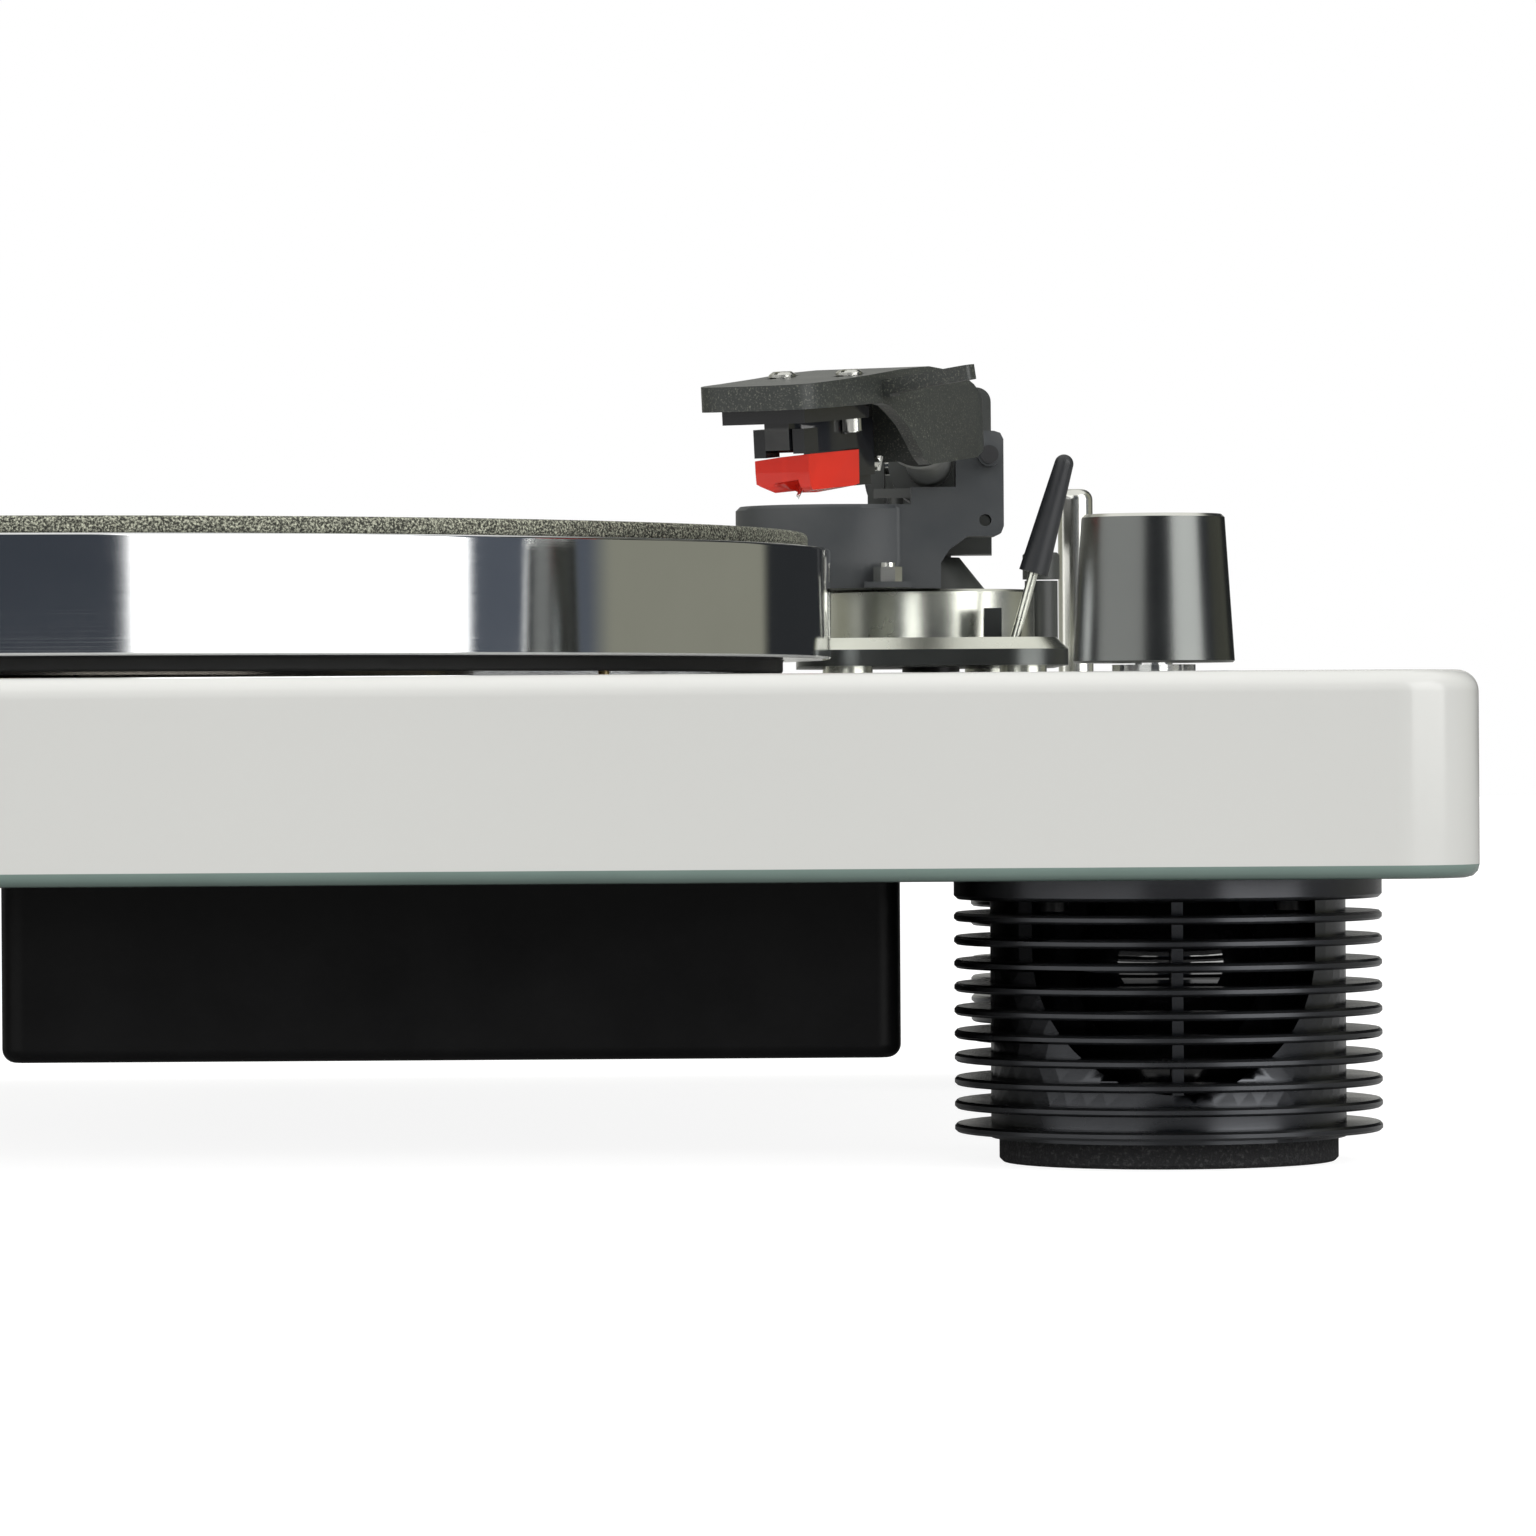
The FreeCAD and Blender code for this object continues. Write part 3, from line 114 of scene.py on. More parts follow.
def ramp_stops(node, stops):
    """Sets a colour ramp's stops from (position, colour) pairs."""
    ramp = node.color_ramp
    while len(ramp.elements) > 1:
        ramp.elements.remove(ramp.elements[-1])
    ramp.elements[0].position = stops[0][0]
    ramp.elements[0].color = (*stops[0][1], 1.0)
    for position, colour in stops[1:]:
        ramp.elements.new(position).color = (*colour, 1.0)


RIGHT_BOX = (3.4, 3.4, 3.36)
LEFT_BOX = (1.4, 1.4, 1.38)
FRONT_GAP = (0.045, 0.052, 0.064)
SIDE_GAP = (0.085, 0.097, 0.118)
BACK_GAP = (0.024, 0.026, 0.028)
OLIVE_WALL = (0.25, 0.25, 0.2)
PALE_WALL = (0.55, 0.55, 0.52)
CEILING = (0.9, 0.9, 0.88)
ROOM_BANDS = [
    (-180, PALE_WALL), (-122, OLIVE_WALL), (-100, OLIVE_WALL), (-94, LEFT_BOX), (-18, LEFT_BOX),
    (-15, FRONT_GAP), (25, FRONT_GAP), (26.5, RIGHT_BOX), (71.2, RIGHT_BOX), (72.5, SIDE_GAP),
    (93, SIDE_GAP), (97, OLIVE_WALL), (134, OLIVE_WALL), (135.5, BACK_GAP), (164, BACK_GAP),
    (170, PALE_WALL)]

world = bpy.data.worlds.new("studio")
bpy.context.scene.world = world
world.use_nodes = True
tree = world.node_tree
tree.nodes.clear()
add, link = node_link(tree)
direction = add("ShaderNodeTexCoord")
split = add("ShaderNodeSeparateXYZ")
link(direction.outputs["Generated"], split.inputs[0])
ahead = add("ShaderNodeMath", operation="MULTIPLY")
ahead.inputs[1].default_value = -1.0
link(split.outputs["Y"], ahead.inputs[0])
turn = add("ShaderNodeMath", operation="ARCTAN2")
link(split.outputs["X"], turn.inputs[0])
link(ahead.outputs[0], turn.inputs[1])
whole_turn = add("ShaderNodeMath", operation="MULTIPLY_ADD")
whole_turn.inputs[1].default_value = 1 / math.tau
whole_turn.inputs[2].default_value = 0.5
link(turn.outputs[0], whole_turn.inputs[0])
bands = add("ShaderNodeValToRGB")
ramp_stops(bands, [(degrees / 360 + 0.5, colour) for degrees, colour in ROOM_BANDS])
link(whole_turn.outputs[0], bands.inputs[0])
above = add("ShaderNodeMapRange")
above.inputs["From Min"].default_value = 0.66
above.inputs["From Max"].default_value = 0.78
link(split.outputs["Z"], above.inputs["Value"])
room = add("ShaderNodeMix", data_type="RGBA")
link(above.outputs["Result"], room.inputs["Factor"])
link(bands.outputs[0], room.inputs["A"])
room.inputs["B"].default_value = (*CEILING, 1.0)
seen = add("ShaderNodeLightPath")
backdrop = add("ShaderNodeMix", data_type="RGBA")
link(seen.outputs["Is Camera Ray"], backdrop.inputs["Factor"])
link(room.outputs["Result"], backdrop.inputs["A"])
backdrop.inputs["B"].default_value = (1.0, 1.0, 1.0, 1.0)
light = add("ShaderNodeBackground")
link(backdrop.outputs["Result"], light.inputs["Color"])
out = add("ShaderNodeOutputWorld")
link(light.outputs[0], out.inputs[0])
bpy.context.scene.view_settings.view_transform = "Standard"
print("room bands:", len(ROOM_BANDS))

# %% [markdown]
# The floor is a wide pale sheet. It glows for the camera only, as a lit table does, so its far
# edge runs into the white without a line, while dark parts above it stay dark. The large front
# light doesn't show in polished parts, just as a flag would hide it.

# %% Floor and soft lights
FLOOR_SIZE = 12.0


def soft_light(name, spot, target, width, height, power, mirrored):
    """A rectangular area light that looks at a point."""
    data = bpy.data.lights.new(name, "AREA")
    data.shape = "RECTANGLE"
    data.size = width
    data.size_y = height
    data.energy = power
    lamp = bpy.data.objects.new(name, data)
    lamp.location = spot
    lamp.rotation_euler = (Vector(target) - Vector(spot)).to_track_quat("-Z", "Y").to_euler()
    lamp.visible_glossy = mirrored
    bpy.context.scene.collection.objects.link(lamp)


floor_mesh = bmesh.new()
bmesh.ops.create_grid(floor_mesh, x_segments=1, y_segments=1, size=FLOOR_SIZE / 2)
floor_data = bpy.data.meshes.new("floor")
floor_mesh.to_mesh(floor_data)
floor_mesh.free()
floor = bpy.data.objects.new("floor", floor_data)
floor.location = (0.0, 0.0, -0.0002)
bpy.context.scene.collection.objects.link(floor)

floor_material = bpy.data.materials.new("floor_sheet")
floor_material.use_nodes = True
add, link = node_link(floor_material.node_tree)
skin = floor_material.node_tree.nodes["Principled BSDF"]
skin.inputs["Base Color"].default_value = (0.27, 0.27, 0.27, 1.0)
skin.inputs["Roughness"].default_value = 0.9
skin.inputs["Specular IOR Level"].default_value = 0.1
skin.inputs["Emission Color"].default_value = (1.0, 1.0, 1.0, 1.0)
seen = add("ShaderNodeLightPath")
glow = add("ShaderNodeMath", operation="MULTIPLY_ADD")
glow.inputs[1].default_value = 0.84
glow.inputs[2].default_value = 0.06
link(seen.outputs["Is Camera Ray"], glow.inputs[0])
link(glow.outputs[0], skin.inputs["Emission Strength"])
floor_data.materials.append(floor_material)

soft_light("front_fill", (0.1, -2.1, 0.75), (0.0, -0.1, 0.05), 1.6, 1.0, 19.0, False)
soft_light("overhead", (0.0, 0.1, 1.6), (0.0, 0.0, 0.0), 1.4, 1.0, 9.0, False)
soft_light("right_edge", (1.9, -0.6, 0.6), (0.15, 0.0, 0.08), 0.6, 0.9, 6.0, False)
print("floor and three soft lights")

# %% [markdown]
# ## Shared surface effects
#
# Real finishes are never even. Two node groups are used by nearly every material: *grain*, a fine
# noise that varies the gloss and lifts the surface a little, and *turning lines*, the fine rings
# that a lathe tool leaves. Both give only masks and heights; each material has its own shader.

# %% Grain group
def new_group(name, inputs, outputs):
    """An empty shader group with float inputs (name, default) and float outputs."""
    group = bpy.data.node_groups.new(name, "ShaderNodeTree")
    group.interface.new_socket("Vector", in_out="INPUT", socket_type="NodeSocketVector")
    for label, default in inputs:
        socket = group.interface.new_socket(label, in_out="INPUT", socket_type="NodeSocketFloat")
        socket.default_value = default
    for label in outputs:
        group.interface.new_socket(label, in_out="OUTPUT", socket_type="NodeSocketFloat")
    return group


grain = new_group("grain", [("Scale", 2000.0), ("Patch Scale", 40.0)], ["Speck", "Patch"])
add, link = node_link(grain)
source = add("NodeGroupInput")
fine = add("ShaderNodeTexNoise", Detail=3.0, Roughness=0.6)
broad = add("ShaderNodeTexNoise", Detail=4.0, Roughness=0.55)
link(source.outputs["Vector"], fine.inputs["Vector"])
link(source.outputs["Vector"], broad.inputs["Vector"])
link(source.outputs["Scale"], fine.inputs["Scale"])
link(source.outputs["Patch Scale"], broad.inputs["Scale"])
result = add("NodeGroupOutput")
link(fine.outputs["Fac"], result.inputs["Speck"])
link(broad.outputs["Fac"], result.inputs["Patch"])
print("grain group")

# %% Turning lines group
turning = new_group("turning_lines", [("Rings", 9000.0), ("Levels", 9000.0)], ["Lines"])
add, link = node_link(turning)
source = add("NodeGroupInput")
split = add("ShaderNodeSeparateXYZ")
link(source.outputs["Vector"], split.inputs[0])
flat = add("ShaderNodeCombineXYZ")
link(split.outputs["X"], flat.inputs["X"])
link(split.outputs["Y"], flat.inputs["Y"])
radius = add("ShaderNodeVectorMath", operation="LENGTH")
link(flat.outputs[0], radius.inputs[0])
ring = add("ShaderNodeMath", operation="MULTIPLY")
link(radius.outputs["Value"], ring.inputs[0])
link(source.outputs["Rings"], ring.inputs[1])
level = add("ShaderNodeMath", operation="MULTIPLY")
link(split.outputs["Z"], level.inputs[0])
link(source.outputs["Levels"], level.inputs[1])
both = add("ShaderNodeMath", operation="ADD")
link(ring.outputs[0], both.inputs[0])
link(level.outputs[0], both.inputs[1])
lines = add("ShaderNodeTexNoise", Scale=1.0, Detail=5.0, Roughness=0.7)
lines.noise_dimensions = "1D"
link(both.outputs[0], lines.inputs["W"])
result = add("NodeGroupOutput")
link(lines.outputs["Fac"], result.inputs["Lines"])
print("turning lines group")

# %% [markdown]
# ## Finishes
#
# One function makes the plain finishes: painted, moulded, plated or rubber. Its colour and its
# gloss drift by the broad noise, and the fine noise feeds a
# bump. A turned part adds the lathe's rings, centred on its own axis by a Mapping node.

# %% Finish builder
FINISHES = {}


def grouped(add, group, **values):
    """A group node with its inputs set."""
    node = add("ShaderNodeGroup")
    node.node_tree = group
    for key, value in values.items():
        node.inputs[key.replace("_", " ")].default_value = value
    return node


def placed_coordinates(add, link, centre):
    """Object coordinates, moved so that a piece's own axis is the middle of its pattern."""
    coordinates = add("ShaderNodeTexCoord")
    mapping = add("ShaderNodeMapping")
    mapping.inputs["Location"].default_value = (-centre[0], -centre[1], 0.0)
    link(coordinates.outputs["Object"], mapping.inputs["Vector"])
    return mapping.outputs["Vector"]


def between(add, link, mask, low, high):
    """Carries a mask from zero-to-one into a range of values."""
    node = add("ShaderNodeMapRange")
    node.inputs["From Min"].default_value = 0.25
    node.inputs["From Max"].default_value = 0.75
    node.inputs["To Min"].default_value = low
    node.inputs["To Max"].default_value = high
    link(mask, node.inputs["Value"])
    return node.outputs["Result"]


def finish(name, shade, other=None, rough=(0.35, 0.5), metal=0.0, scale=1500.0, patch=45.0, bump=0.02,
           depth=0.0001, centre=None, rings=0.0, levels=0.0, line_bump=0.0, coat=0.0, shine=0.5):
    """A finish whose colour and gloss drift, with a fine grain and, on turned parts, tool rings."""
    material = bpy.data.materials.new(name)
    material.use_nodes = True
    tree = material.node_tree
    add, link = node_link(tree)
    skin = tree.nodes["Principled BSDF"]
    skin.inputs["Metallic"].default_value = metal
    skin.inputs["Coat Weight"].default_value = coat
    skin.inputs["Specular IOR Level"].default_value = shine
    vector = placed_coordinates(add, link, centre or (0.0, 0.0))
    specks = grouped(add, grain, Scale=scale, Patch_Scale=patch)
    link(vector, specks.inputs["Vector"])
    other = other or tuple(min(1.0, c * 1.35 + 0.004) for c in shade)
    colour = add("ShaderNodeMix", data_type="RGBA")
    colour.inputs["A"].default_value = (*shade, 1.0)
    colour.inputs["B"].default_value = (*other, 1.0)
    link(between(add, link, specks.outputs["Patch"], 0.0, 1.0), colour.inputs["Factor"])
    link(colour.outputs["Result"], skin.inputs["Base Color"])
    link(between(add, link, specks.outputs["Patch"], rough[0], rough[1]), skin.inputs["Roughness"])
    lift = add("ShaderNodeBump", Strength=bump, Distance=depth)
    link(specks.outputs["Speck"], lift.inputs["Height"])
    normal = lift.outputs["Normal"]
    if centre is not None and line_bump > 0:
        rings_node = grouped(add, turning, Rings=rings, Levels=levels)
        link(vector, rings_node.inputs["Vector"])
        line = add("ShaderNodeBump", Strength=line_bump, Distance=0.00005)
        link(rings_node.outputs["Lines"], line.inputs["Height"])
        link(normal, line.inputs["Normal"])
        normal = line.outputs["Normal"]
    link(normal, skin.inputs["Normal"])
    FINISHES[name] = material
    return material


def axis_of(node):
    """The middle of a node in plan, which is the axis of a turned part."""
    low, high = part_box(node)
    return ((low[0] + high[0]) / 2, (low[1] + high[1]) / 2)


platter_axis = axis_of("platter")
knob_axis = axis_of("knob_shell")
post_axis = axis_of("rear_post")
drum_axis = axis_of("arm_drum")
print("platter axis:", [round(v, 4) for v in platter_axis])

# %% [markdown]
# The finishes, named for the part they belong to. Blacks differ a lot on a real deck: the case is
# deep satin, the feet are anodised and catch light on each fin, and the bracket is a blue-grey
# moulding.

# %% Blacks
finish("black_satin_case", (0.0012, 0.0012, 0.0014), rough=(0.36, 0.44), scale=2600, bump=0.04, shine=0.16)
finish("panel_black", (0.012, 0.012, 0.013), rough=(0.5, 0.62), scale=3000, bump=0.1)
finish("socket_black", (0.01, 0.01, 0.011), rough=(0.35, 0.45))
finish("rocker_black", (0.01, 0.01, 0.011), rough=(0.2, 0.3))
finish("black_screw", (0.012, 0.012, 0.013), rough=(0.4, 0.5))
finish("foot_black", (0.062, 0.064, 0.069), rough=(0.2, 0.3), metal=1.0, scale=2500, bump=0.05)
finish("cup_black", (0.004, 0.004, 0.005), rough=(0.06, 0.12))
finish("ball_black", (0.003, 0.003, 0.004), rough=(0.02, 0.05), coat=1.0, shine=1.0)
finish("base_black", (0.09, 0.095, 0.092), rough=(0.26, 0.36), metal=1.0, scale=2500, bump=0.04)
finish("bracket_black", (0.032, 0.036, 0.04), (0.055, 0.058, 0.06), rough=(0.4, 0.55), scale=1800,
       patch=70, bump=0.1)
finish("grip_black", (0.012, 0.013, 0.015), rough=(0.38, 0.48), scale=2500, bump=0.06)
finish("arm_black", (0.032, 0.034, 0.032), rough=(0.35, 0.45), scale=2500, bump=0.05)
finish("cartridge_black", (0.007, 0.0075, 0.009), rough=(0.1, 0.18), scale=2200, bump=0.02, shine=0.8)
finish("switch_body", (0.02, 0.02, 0.03), rough=(0.4, 0.5))
finish("belt_rubber", (0.012, 0.012, 0.012), rough=(0.6, 0.75))
print("black finishes:", len(FINISHES))

# %% Metals
finish("zinc_screw", (0.4, 0.4, 0.41), rough=(0.25, 0.4), metal=1.0)
finish("nickel_steel", (0.66, 0.66, 0.62), rough=(0.16, 0.24), metal=1.0, scale=2600, bump=0.02)
finish("port_steel", (0.6, 0.6, 0.6), rough=(0.25, 0.35), metal=1.0)
finish("gold_contact", (0.83, 0.6, 0.25), rough=(0.18, 0.28), metal=1.0)
finish("motor_steel", (0.45, 0.45, 0.46), rough=(0.3, 0.42), metal=1.0)
finish("pulley_brass", (0.7, 0.53, 0.27), rough=(0.2, 0.3), metal=1.0)
finish("bearing_bronze", (0.45, 0.33, 0.19), rough=(0.35, 0.5), metal=1.0)
finish("bearing_ball", (0.75, 0.75, 0.76), rough=(0.05, 0.1), metal=1.0)
finish("spindle_steel", (0.72, 0.72, 0.72), rough=(0.08, 0.14), metal=1.0)
finish("cast_ring", (0.27, 0.25, 0.22), rough=(0.14, 0.22), metal=1.0, centre=platter_axis, levels=5000.0,
       rings=5000.0, line_bump=0.25)
finish("platter_polish", (0.8, 0.81, 0.82), (0.84, 0.85, 0.86), rough=(0.03, 0.075), metal=1.0, scale=900,
       bump=0.006, centre=platter_axis, rings=4000.0, levels=5200.0, line_bump=0.035)
finish("satin_alloy", (0.62, 0.63, 0.56), rough=(0.22, 0.32), metal=1.0, centre=drum_axis, levels=6000.0,
       rings=6000.0, line_bump=0.12)
finish("weight_steel", (0.2, 0.2, 0.205), rough=(0.25, 0.35), metal=1.0)
finish("cantilever_alloy", (0.8, 0.8, 0.8), rough=(0.2, 0.3), metal=1.0)
finish("knob_gunmetal", (0.13, 0.136, 0.132), (0.148, 0.154, 0.149), rough=(0.22, 0.27), metal=1.0,
       scale=3500, bump=0.12, centre=knob_axis)
print("finishes so far:", len(FINISHES))

# %% [markdown]
# ### Speckled, soft and clear finishes
#
# The felt mat is a dark olive-grey wool with paler fibres, so its colour is mixed from two noises
# of different size. The head shell is a satin moulding with fine pale specks. Foam pads are very
# rough. Clear plastic keeps a plain transmission, and the coated glass is a glossy off-white.

# %% Speckled finishes
def speckled(name, ground, fleck, scale, low, high, rough, bump, depth):
    """A dark ground with pale flecks, both in colour and in height."""
    material = finish(name, ground, rough=rough, scale=scale, bump=bump, depth=depth)
    tree = material.node_tree
    add, link = node_link(tree)
    skin = tree.nodes["Principled BSDF"]
    base = skin.inputs["Base Color"].links[0].from_socket
    coordinates = add("ShaderNodeTexCoord")
    noise = add("ShaderNodeTexNoise", Scale=scale, Detail=4.0, Roughness=0.75)
    link(coordinates.outputs["Object"], noise.inputs["Vector"])
    mask = add("ShaderNodeMapRange")
    mask.inputs["From Min"].default_value = low
    mask.inputs["From Max"].default_value = high
    link(noise.outputs["Fac"], mask.inputs["Value"])
    mixed = add("ShaderNodeMix", data_type="RGBA")
    link(mask.outputs["Result"], mixed.inputs["Factor"])
    link(base, mixed.inputs["A"])
    mixed.inputs["B"].default_value = (*fleck, 1.0)
    link(mixed.outputs["Result"], skin.inputs["Base Color"])


speckled("mat_felt", (0.022, 0.0225, 0.018), (0.6, 0.61, 0.48), scale=2600.0, low=0.46, high=0.66,
         rough=(0.9, 0.97), bump=0.9, depth=0.6 * MM)
speckled("shell_black", (0.02, 0.0225, 0.021), (0.2, 0.205, 0.165), scale=2900.0, low=0.55, high=0.72,
         rough=(0.34, 0.44), bump=0.15, depth=0.1 * MM)
speckled("foot_rubber", (0.012, 0.012, 0.013), (0.07, 0.07, 0.07), scale=1500.0, low=0.52, high=0.7,
         rough=(0.85, 0.95), bump=0.9, depth=0.6 * MM)
finish("board_green", (0.02, 0.12, 0.05), rough=(0.3, 0.4))
print("speckled finishes done")

# %% Clear finishes
def clear_plastic(name, tint, rough, transmission):
    """Clear or tinted moulding: light passes through it, and its gloss drifts a little."""
    material = finish(name, tint, tuple(min(1.0, c * 1.15) for c in tint), rough=rough, bump=0.01)
    skin = material.node_tree.nodes["Principled BSDF"]
    skin.inputs["Transmission Weight"].default_value = transmission
    skin.inputs["IOR"].default_value = 1.49
    return material


clear_plastic("clear_washer", (0.9, 0.92, 0.9), (0.05, 0.1), 0.85)
clear_plastic("red_clear", (0.8, 0.035, 0.018), (0.08, 0.14), 0.45)
clear_plastic("raw_glass_edge", (0.13, 0.18, 0.16), (0.12, 0.3), 0.0)
finish("coated_glass", (0.5, 0.5, 0.483), (0.51, 0.51, 0.493), rough=(0.12, 0.16), scale=700, patch=14,
       bump=0.002)
print("all finishes:", len(FINISHES))

# %% [markdown]
# ## Making pieces
#
# The helpers below make a shape, soften its sharp edges with a small bevel, and hand it over to
# a CAD body. A turned piece is a half profile spun round its axis. Other parts start as a copy of
# the CAD part. Normals are weighted by face area, so that flat faces stay flat beside a bevel.

# %% Piece helpers
SHARP = math.radians(32)
FLAT_ANGLE = math.radians(0.5)
MERGE_GAP = 1e-6
made = []


def material_slot_of(node):
    """The record's material slot of a CAD node."""
    for part in frame["record"]["subparts"]:
        if part["node"] == node:
            return part["material_slot"]
    raise KeyError(node)


def body_of(node):
    """The CAD body that a node belongs to."""
    for body, nodes in frame["record"]["behaviour"]["bodies"].items():
        if node in nodes:
            return body
    raise KeyError(node)


def hand_over(shape, name, node, materials=None):
    """Turns a bmesh into a finished piece that rides with, and stands for, a CAD node."""
    data = bpy.data.meshes.new(name)
    shape.to_mesh(data)
    shape.free()
    data.shade_smooth()
    data.set_sharp_from_angle(angle=SHARP)
    piece = bpy.data.objects.new(name, data)
    bpy.context.scene.collection.objects.link(piece)
    slot = material_slot_of(node)
    for material in materials or [FINISHES[slot]]:
        data.materials.append(material)
    evener = piece.modifiers.new("flat faces stay flat", "WEIGHTED_NORMAL")
    evener.mode = "FACE_AREA"
    evener.weight = 80
    evener.keep_sharp = True
    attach(piece, body_of(node))
    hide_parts(node)
    made.append(name)


def soften(shape, width, segments=3, edges=None):
    """A small bevel along every edge that is sharper than the smoothing angle."""
    if edges is None:
        edges = [e for e in shape.edges if len(e.link_faces) == 2 and e.calc_face_angle() > SHARP]
    bmesh.ops.bevel(shape, geom=edges, offset=width, segments=segments, profile=0.5, affect="EDGES",
                    material=-1, clamp_overlap=True)


def turned_shape(profile, centre, steps=192):
    """A closed shape from a half profile of (radius, height) points, spun round an upright axis."""
    shape = bmesh.new()
    points = [shape.verts.new((centre[0] + r, centre[1], z)) for r, z in profile]
    closed = profile[0][0] > 0 or profile[-1][0] > 0
    pairs = list(zip(points, points[1:]))
    if closed:
        pairs.append((points[-1], points[0]))
    edges = [shape.edges.new(pair) for pair in pairs]
    bmesh.ops.spin(shape, geom=points + edges, cent=(*centre, 0.0), axis=(0, 0, 1), angle=math.tau,
                   steps=steps, use_merge=True)
    bmesh.ops.remove_doubles(shape, verts=shape.verts, dist=1e-7)
    bmesh.ops.recalc_face_normals(shape, faces=shape.faces)
    return shape


def smooth_copy(node):
    """A CAD node's own shape with its loose triangles merged, so that its curves shade smoothly."""
    shape = bmesh.new()
    shape.from_mesh(frame["nodes"][node].data)
    bmesh.ops.remove_doubles(shape, verts=shape.verts, dist=MERGE_GAP)
    bmesh.ops.dissolve_limit(shape, angle_limit=FLAT_ANGLE, verts=shape.verts, edges=shape.edges)
    return shape


print("helpers ready")

# %% [markdown]
# ## Plinth
#
# A slab of thick glass, painted white on the inside and polished on its edges. It starts as a
# cube: the four upright corners are rounded first, then the top edge is rolled over and the
# bottom edge is ground to a narrow bevel, which is left uncoated and shows green.

# %% Plinth slab
slab_low, slab_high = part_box("plinth_slab")
CORNER = 14.0 * MM
TOP_ROLL = 3.4 * MM
LOWER_BEVEL = 2.1 * MM

slab = bmesh.new()
bmesh.ops.create_cube(slab, size=1.0)
size = Vector(slab_high) - Vector(slab_low)
middle = (Vector(slab_high) + Vector(slab_low)) / 2
bmesh.ops.scale(slab, vec=size, verts=slab.verts)
bmesh.ops.translate(slab, vec=middle, verts=slab.verts)
upright = [e for e in slab.edges if abs(e.verts[0].co.z - e.verts[1].co.z) > 0.01]
soften(slab, CORNER, 16, upright)
rim = [e for e in slab.edges if all(v.co.z > slab_high[2] - 1e-6 for v in e.verts)]
soften(slab, TOP_ROLL, 8, rim)
rim = [e for e in slab.edges if all(v.co.z < slab_low[2] + 1e-6 for v in e.verts)]
soften(slab, LOWER_BEVEL, 3, rim)
for face in slab.faces:
    if face.calc_center_median().z < slab_low[2] + LOWER_BEVEL and face.normal.z > -0.97:
        face.material_index = 1
hand_over(slab, "glass_plinth", "plinth_slab", [FINISHES["coated_glass"], FINISHES["raw_glass_edge"]])
print("plinth thickness:", round(size.z, 4), "m")

# %% [markdown]
# ## Platter and mat
#
# The platter is one turned casting, polished like a mirror. Flat facets would show at once in the
# reflections, so it is spun in 360 steps. A black lip hangs under its rim as painted shade: a dark
# piece that keeps the gap under the rim dark. The felt mat lies on top and has a soft, rounded edge.

# %% Platter
platter_low, platter_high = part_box("platter")
rim_radius = (platter_high[0] - platter_low[0]) / 2
WEB = 7.4 * MM
WEB_CORNER = 3.0 * MM
RIM_WALL = 11.5 * MM
SHADE_LIP_WALL = 3.0 * MM
SHADE_LIP_DROP = 2.4 * MM
BORE_RADIUS = 4.0 * MM
inner = rim_radius - RIM_WALL
web_low = platter_high[2] - WEB
rim_low = platter_low[2] + SHADE_LIP_DROP
profile = [(BORE_RADIUS, web_low), (inner - WEB_CORNER, web_low), (inner, web_low - WEB_CORNER),
           (inner, platter_low[2]), (inner + SHADE_LIP_WALL, platter_low[2]), (inner + SHADE_LIP_WALL, rim_low),
           (rim_radius, rim_low), (rim_radius, platter_high[2]), (BORE_RADIUS, platter_high[2])]
platter = turned_shape(profile, platter_axis, 360)
soften(platter, 0.5 * MM, 3)
# The faces below the rim get the black finish: painted shade for the gap under the platter.
for face in platter.faces:
    if face.calc_center_median().z < rim_low - 0.1 * MM:
        face.material_index = 1
hand_over(platter, "polished_platter", "platter", [FINISHES["platter_polish"], FINISHES["belt_rubber"]])

mat_low, mat_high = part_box("platter_mat")
mat_radius = (mat_high[0] - mat_low[0]) / 2
mat_bore = BORE_RADIUS + 0.2 * MM
profile = [(mat_bore, mat_low[2]), (mat_radius, mat_low[2]), (mat_radius, mat_high[2]),
           (mat_bore, mat_high[2])]
mat = turned_shape(profile, platter_axis, 240)
soften(mat, 0.9 * MM, 4)
hand_over(mat, "felt_mat", "platter_mat")
print("platter radius:", round(rim_radius, 4), "m")
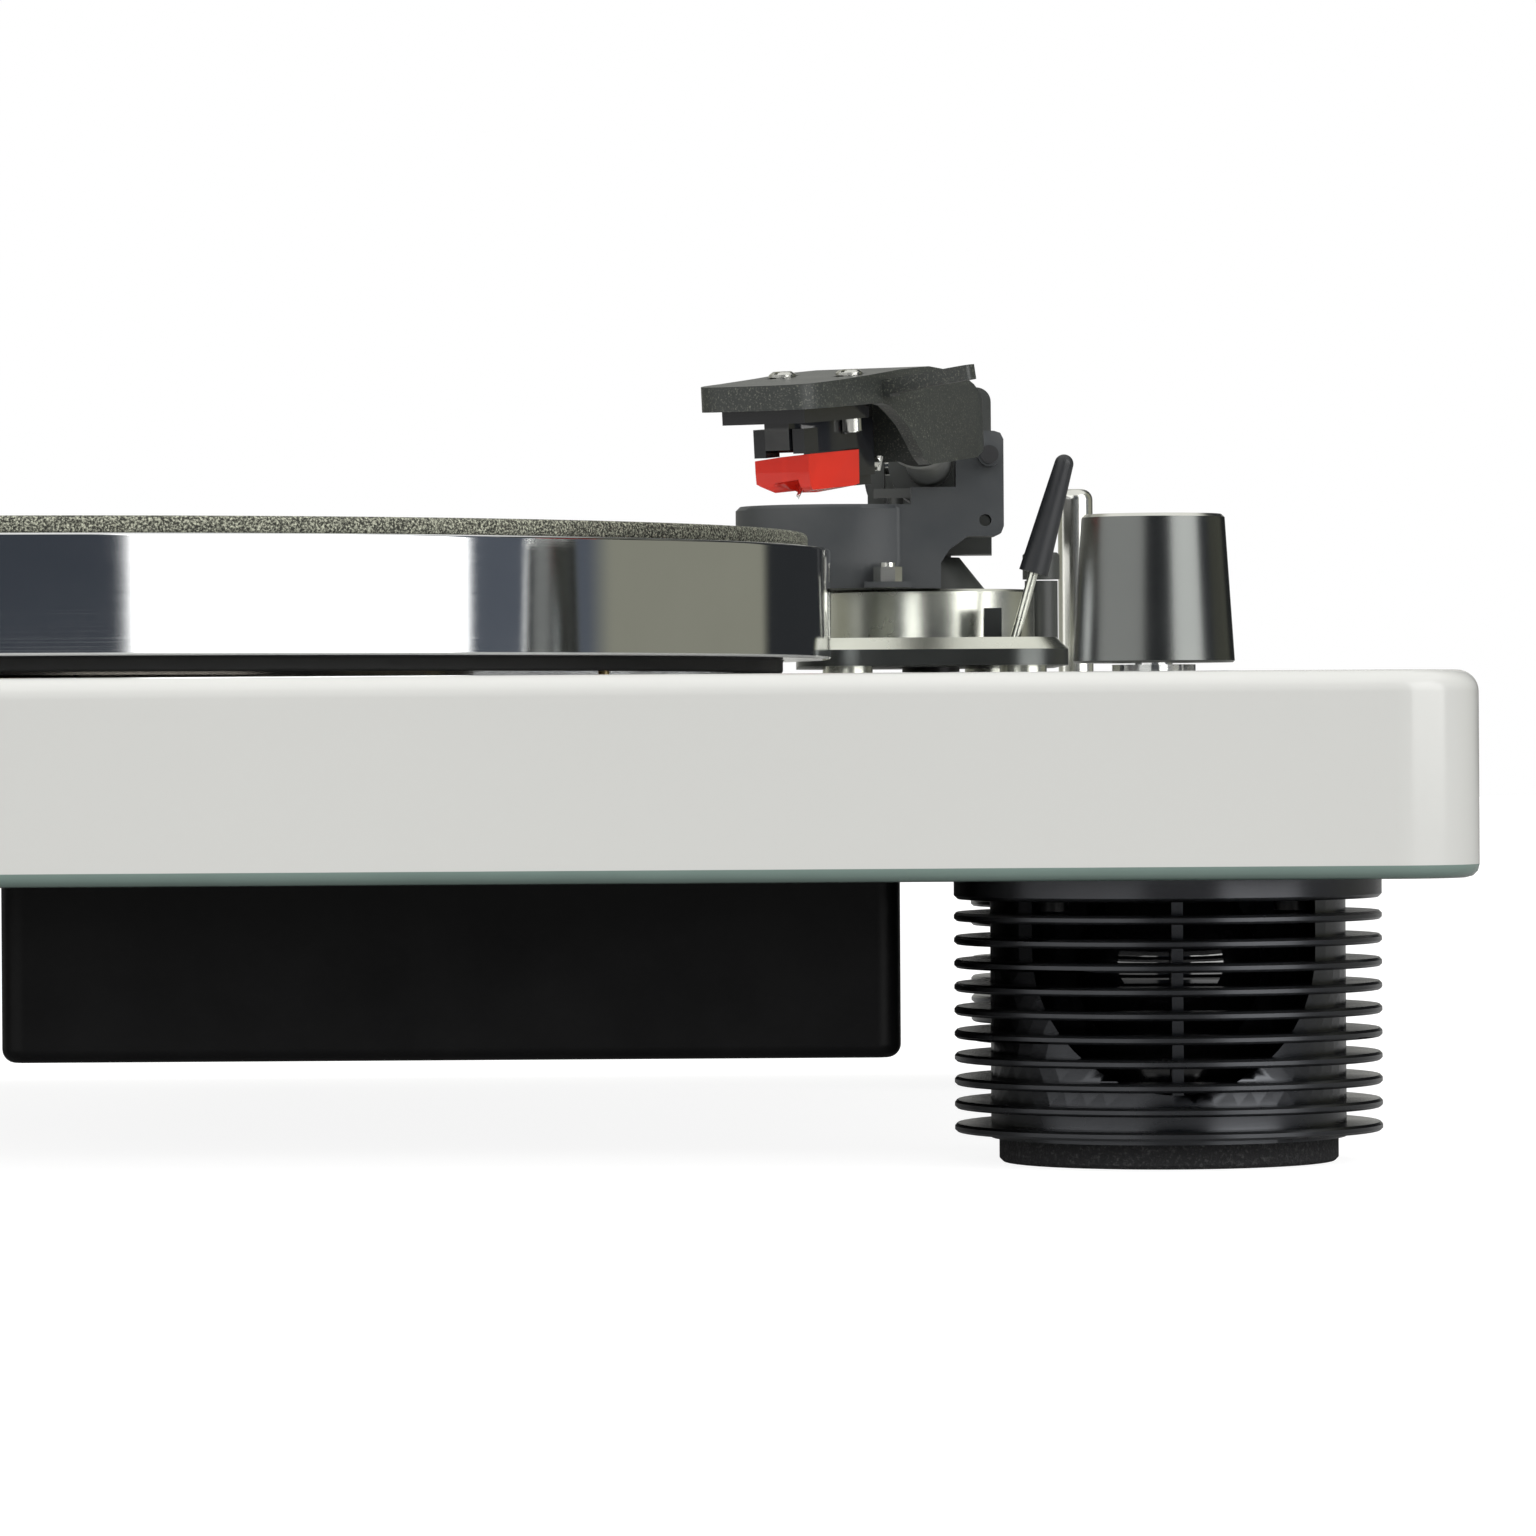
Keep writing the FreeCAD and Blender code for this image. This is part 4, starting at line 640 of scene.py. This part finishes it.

# %% [markdown]
# ## Knob
#
# A tapered turned knob, standing just clear of the deck on a clear washer. The chamfer round its
# top is given bright nickel, a painted highlight for the light it catches from above.

# %% Knob
knob_low, knob_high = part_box("knob_shell")
KNOB_BASE = 13.0 * MM
KNOB_TOP = 11.5 * MM
KNOB_HOLE = 3.0 * MM
FOOT_CUT = 0.3 * MM
RIM_CUT = 0.5 * MM
profile = [(KNOB_HOLE, knob_low[2]), (KNOB_BASE - FOOT_CUT, knob_low[2]),
           (KNOB_BASE, knob_low[2] + FOOT_CUT), (KNOB_TOP, knob_high[2] - RIM_CUT),
           (KNOB_TOP - RIM_CUT, knob_high[2]), (0.0, knob_high[2])]
knob = turned_shape(profile, knob_axis, 160)
# The top chamfer faces get bright nickel: a painted highlight.
for face in knob.faces:
    middle = face.calc_center_median()
    if knob_high[2] - RIM_CUT < middle.z < knob_high[2] - 0.1 * RIM_CUT:
        face.material_index = 1
hand_over(knob, "control_knob", "knob_shell", [FINISHES["knob_gunmetal"], FINISHES["nickel_steel"]])

# %% Rear post
post_low, post_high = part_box("rear_post")
POST_RADIUS = 3.5 * MM
profile = [(0.0, post_low[2]), (POST_RADIUS, post_low[2]), (POST_RADIUS, post_high[2]), (0.0, post_high[2])]
post = turned_shape(profile, post_axis, 64)
rim = [e for e in post.edges if e.calc_face_angle(0) > SHARP and e.verts[0].co.z > post_high[2] - 1e-5]
soften(post, 2.2 * MM, 6, rim)
hand_over(post, "bright_post", "rear_post")
print("pieces so far:", made)

# %% [markdown]
# ## Every other part
#
# The rest of the parts have the right shape in CAD already. Each is copied with its triangles
# merged, so that its curves shade smoothly, and gets its own finish. The arm's base plate is black;
# its upward-sloping bevel faces get the bright alloy, a painted highlight where they face the light.

# %% Arm base plate
base_plate = smooth_copy("arm_base_plate")
# Faces that slope upward get the bright alloy: a painted highlight on the plate's bevel.
for face in base_plate.faces:
    if 0.3 < face.normal.z < 0.95:
        face.material_index = 1
hand_over(base_plate, "arm_base_plate_piece", "arm_base_plate",
          [FINISHES["base_black"], FINISHES["satin_alloy"]])

# %% Remaining parts
REBUILT = {"plinth_slab", "platter", "platter_mat", "knob_shell", "rear_post", "arm_base_plate"}
for node in sorted(frame["nodes"]):
    if node not in REBUILT:
        hand_over(smooth_copy(node), node + "_piece", node)
print("pieces:", len(made))
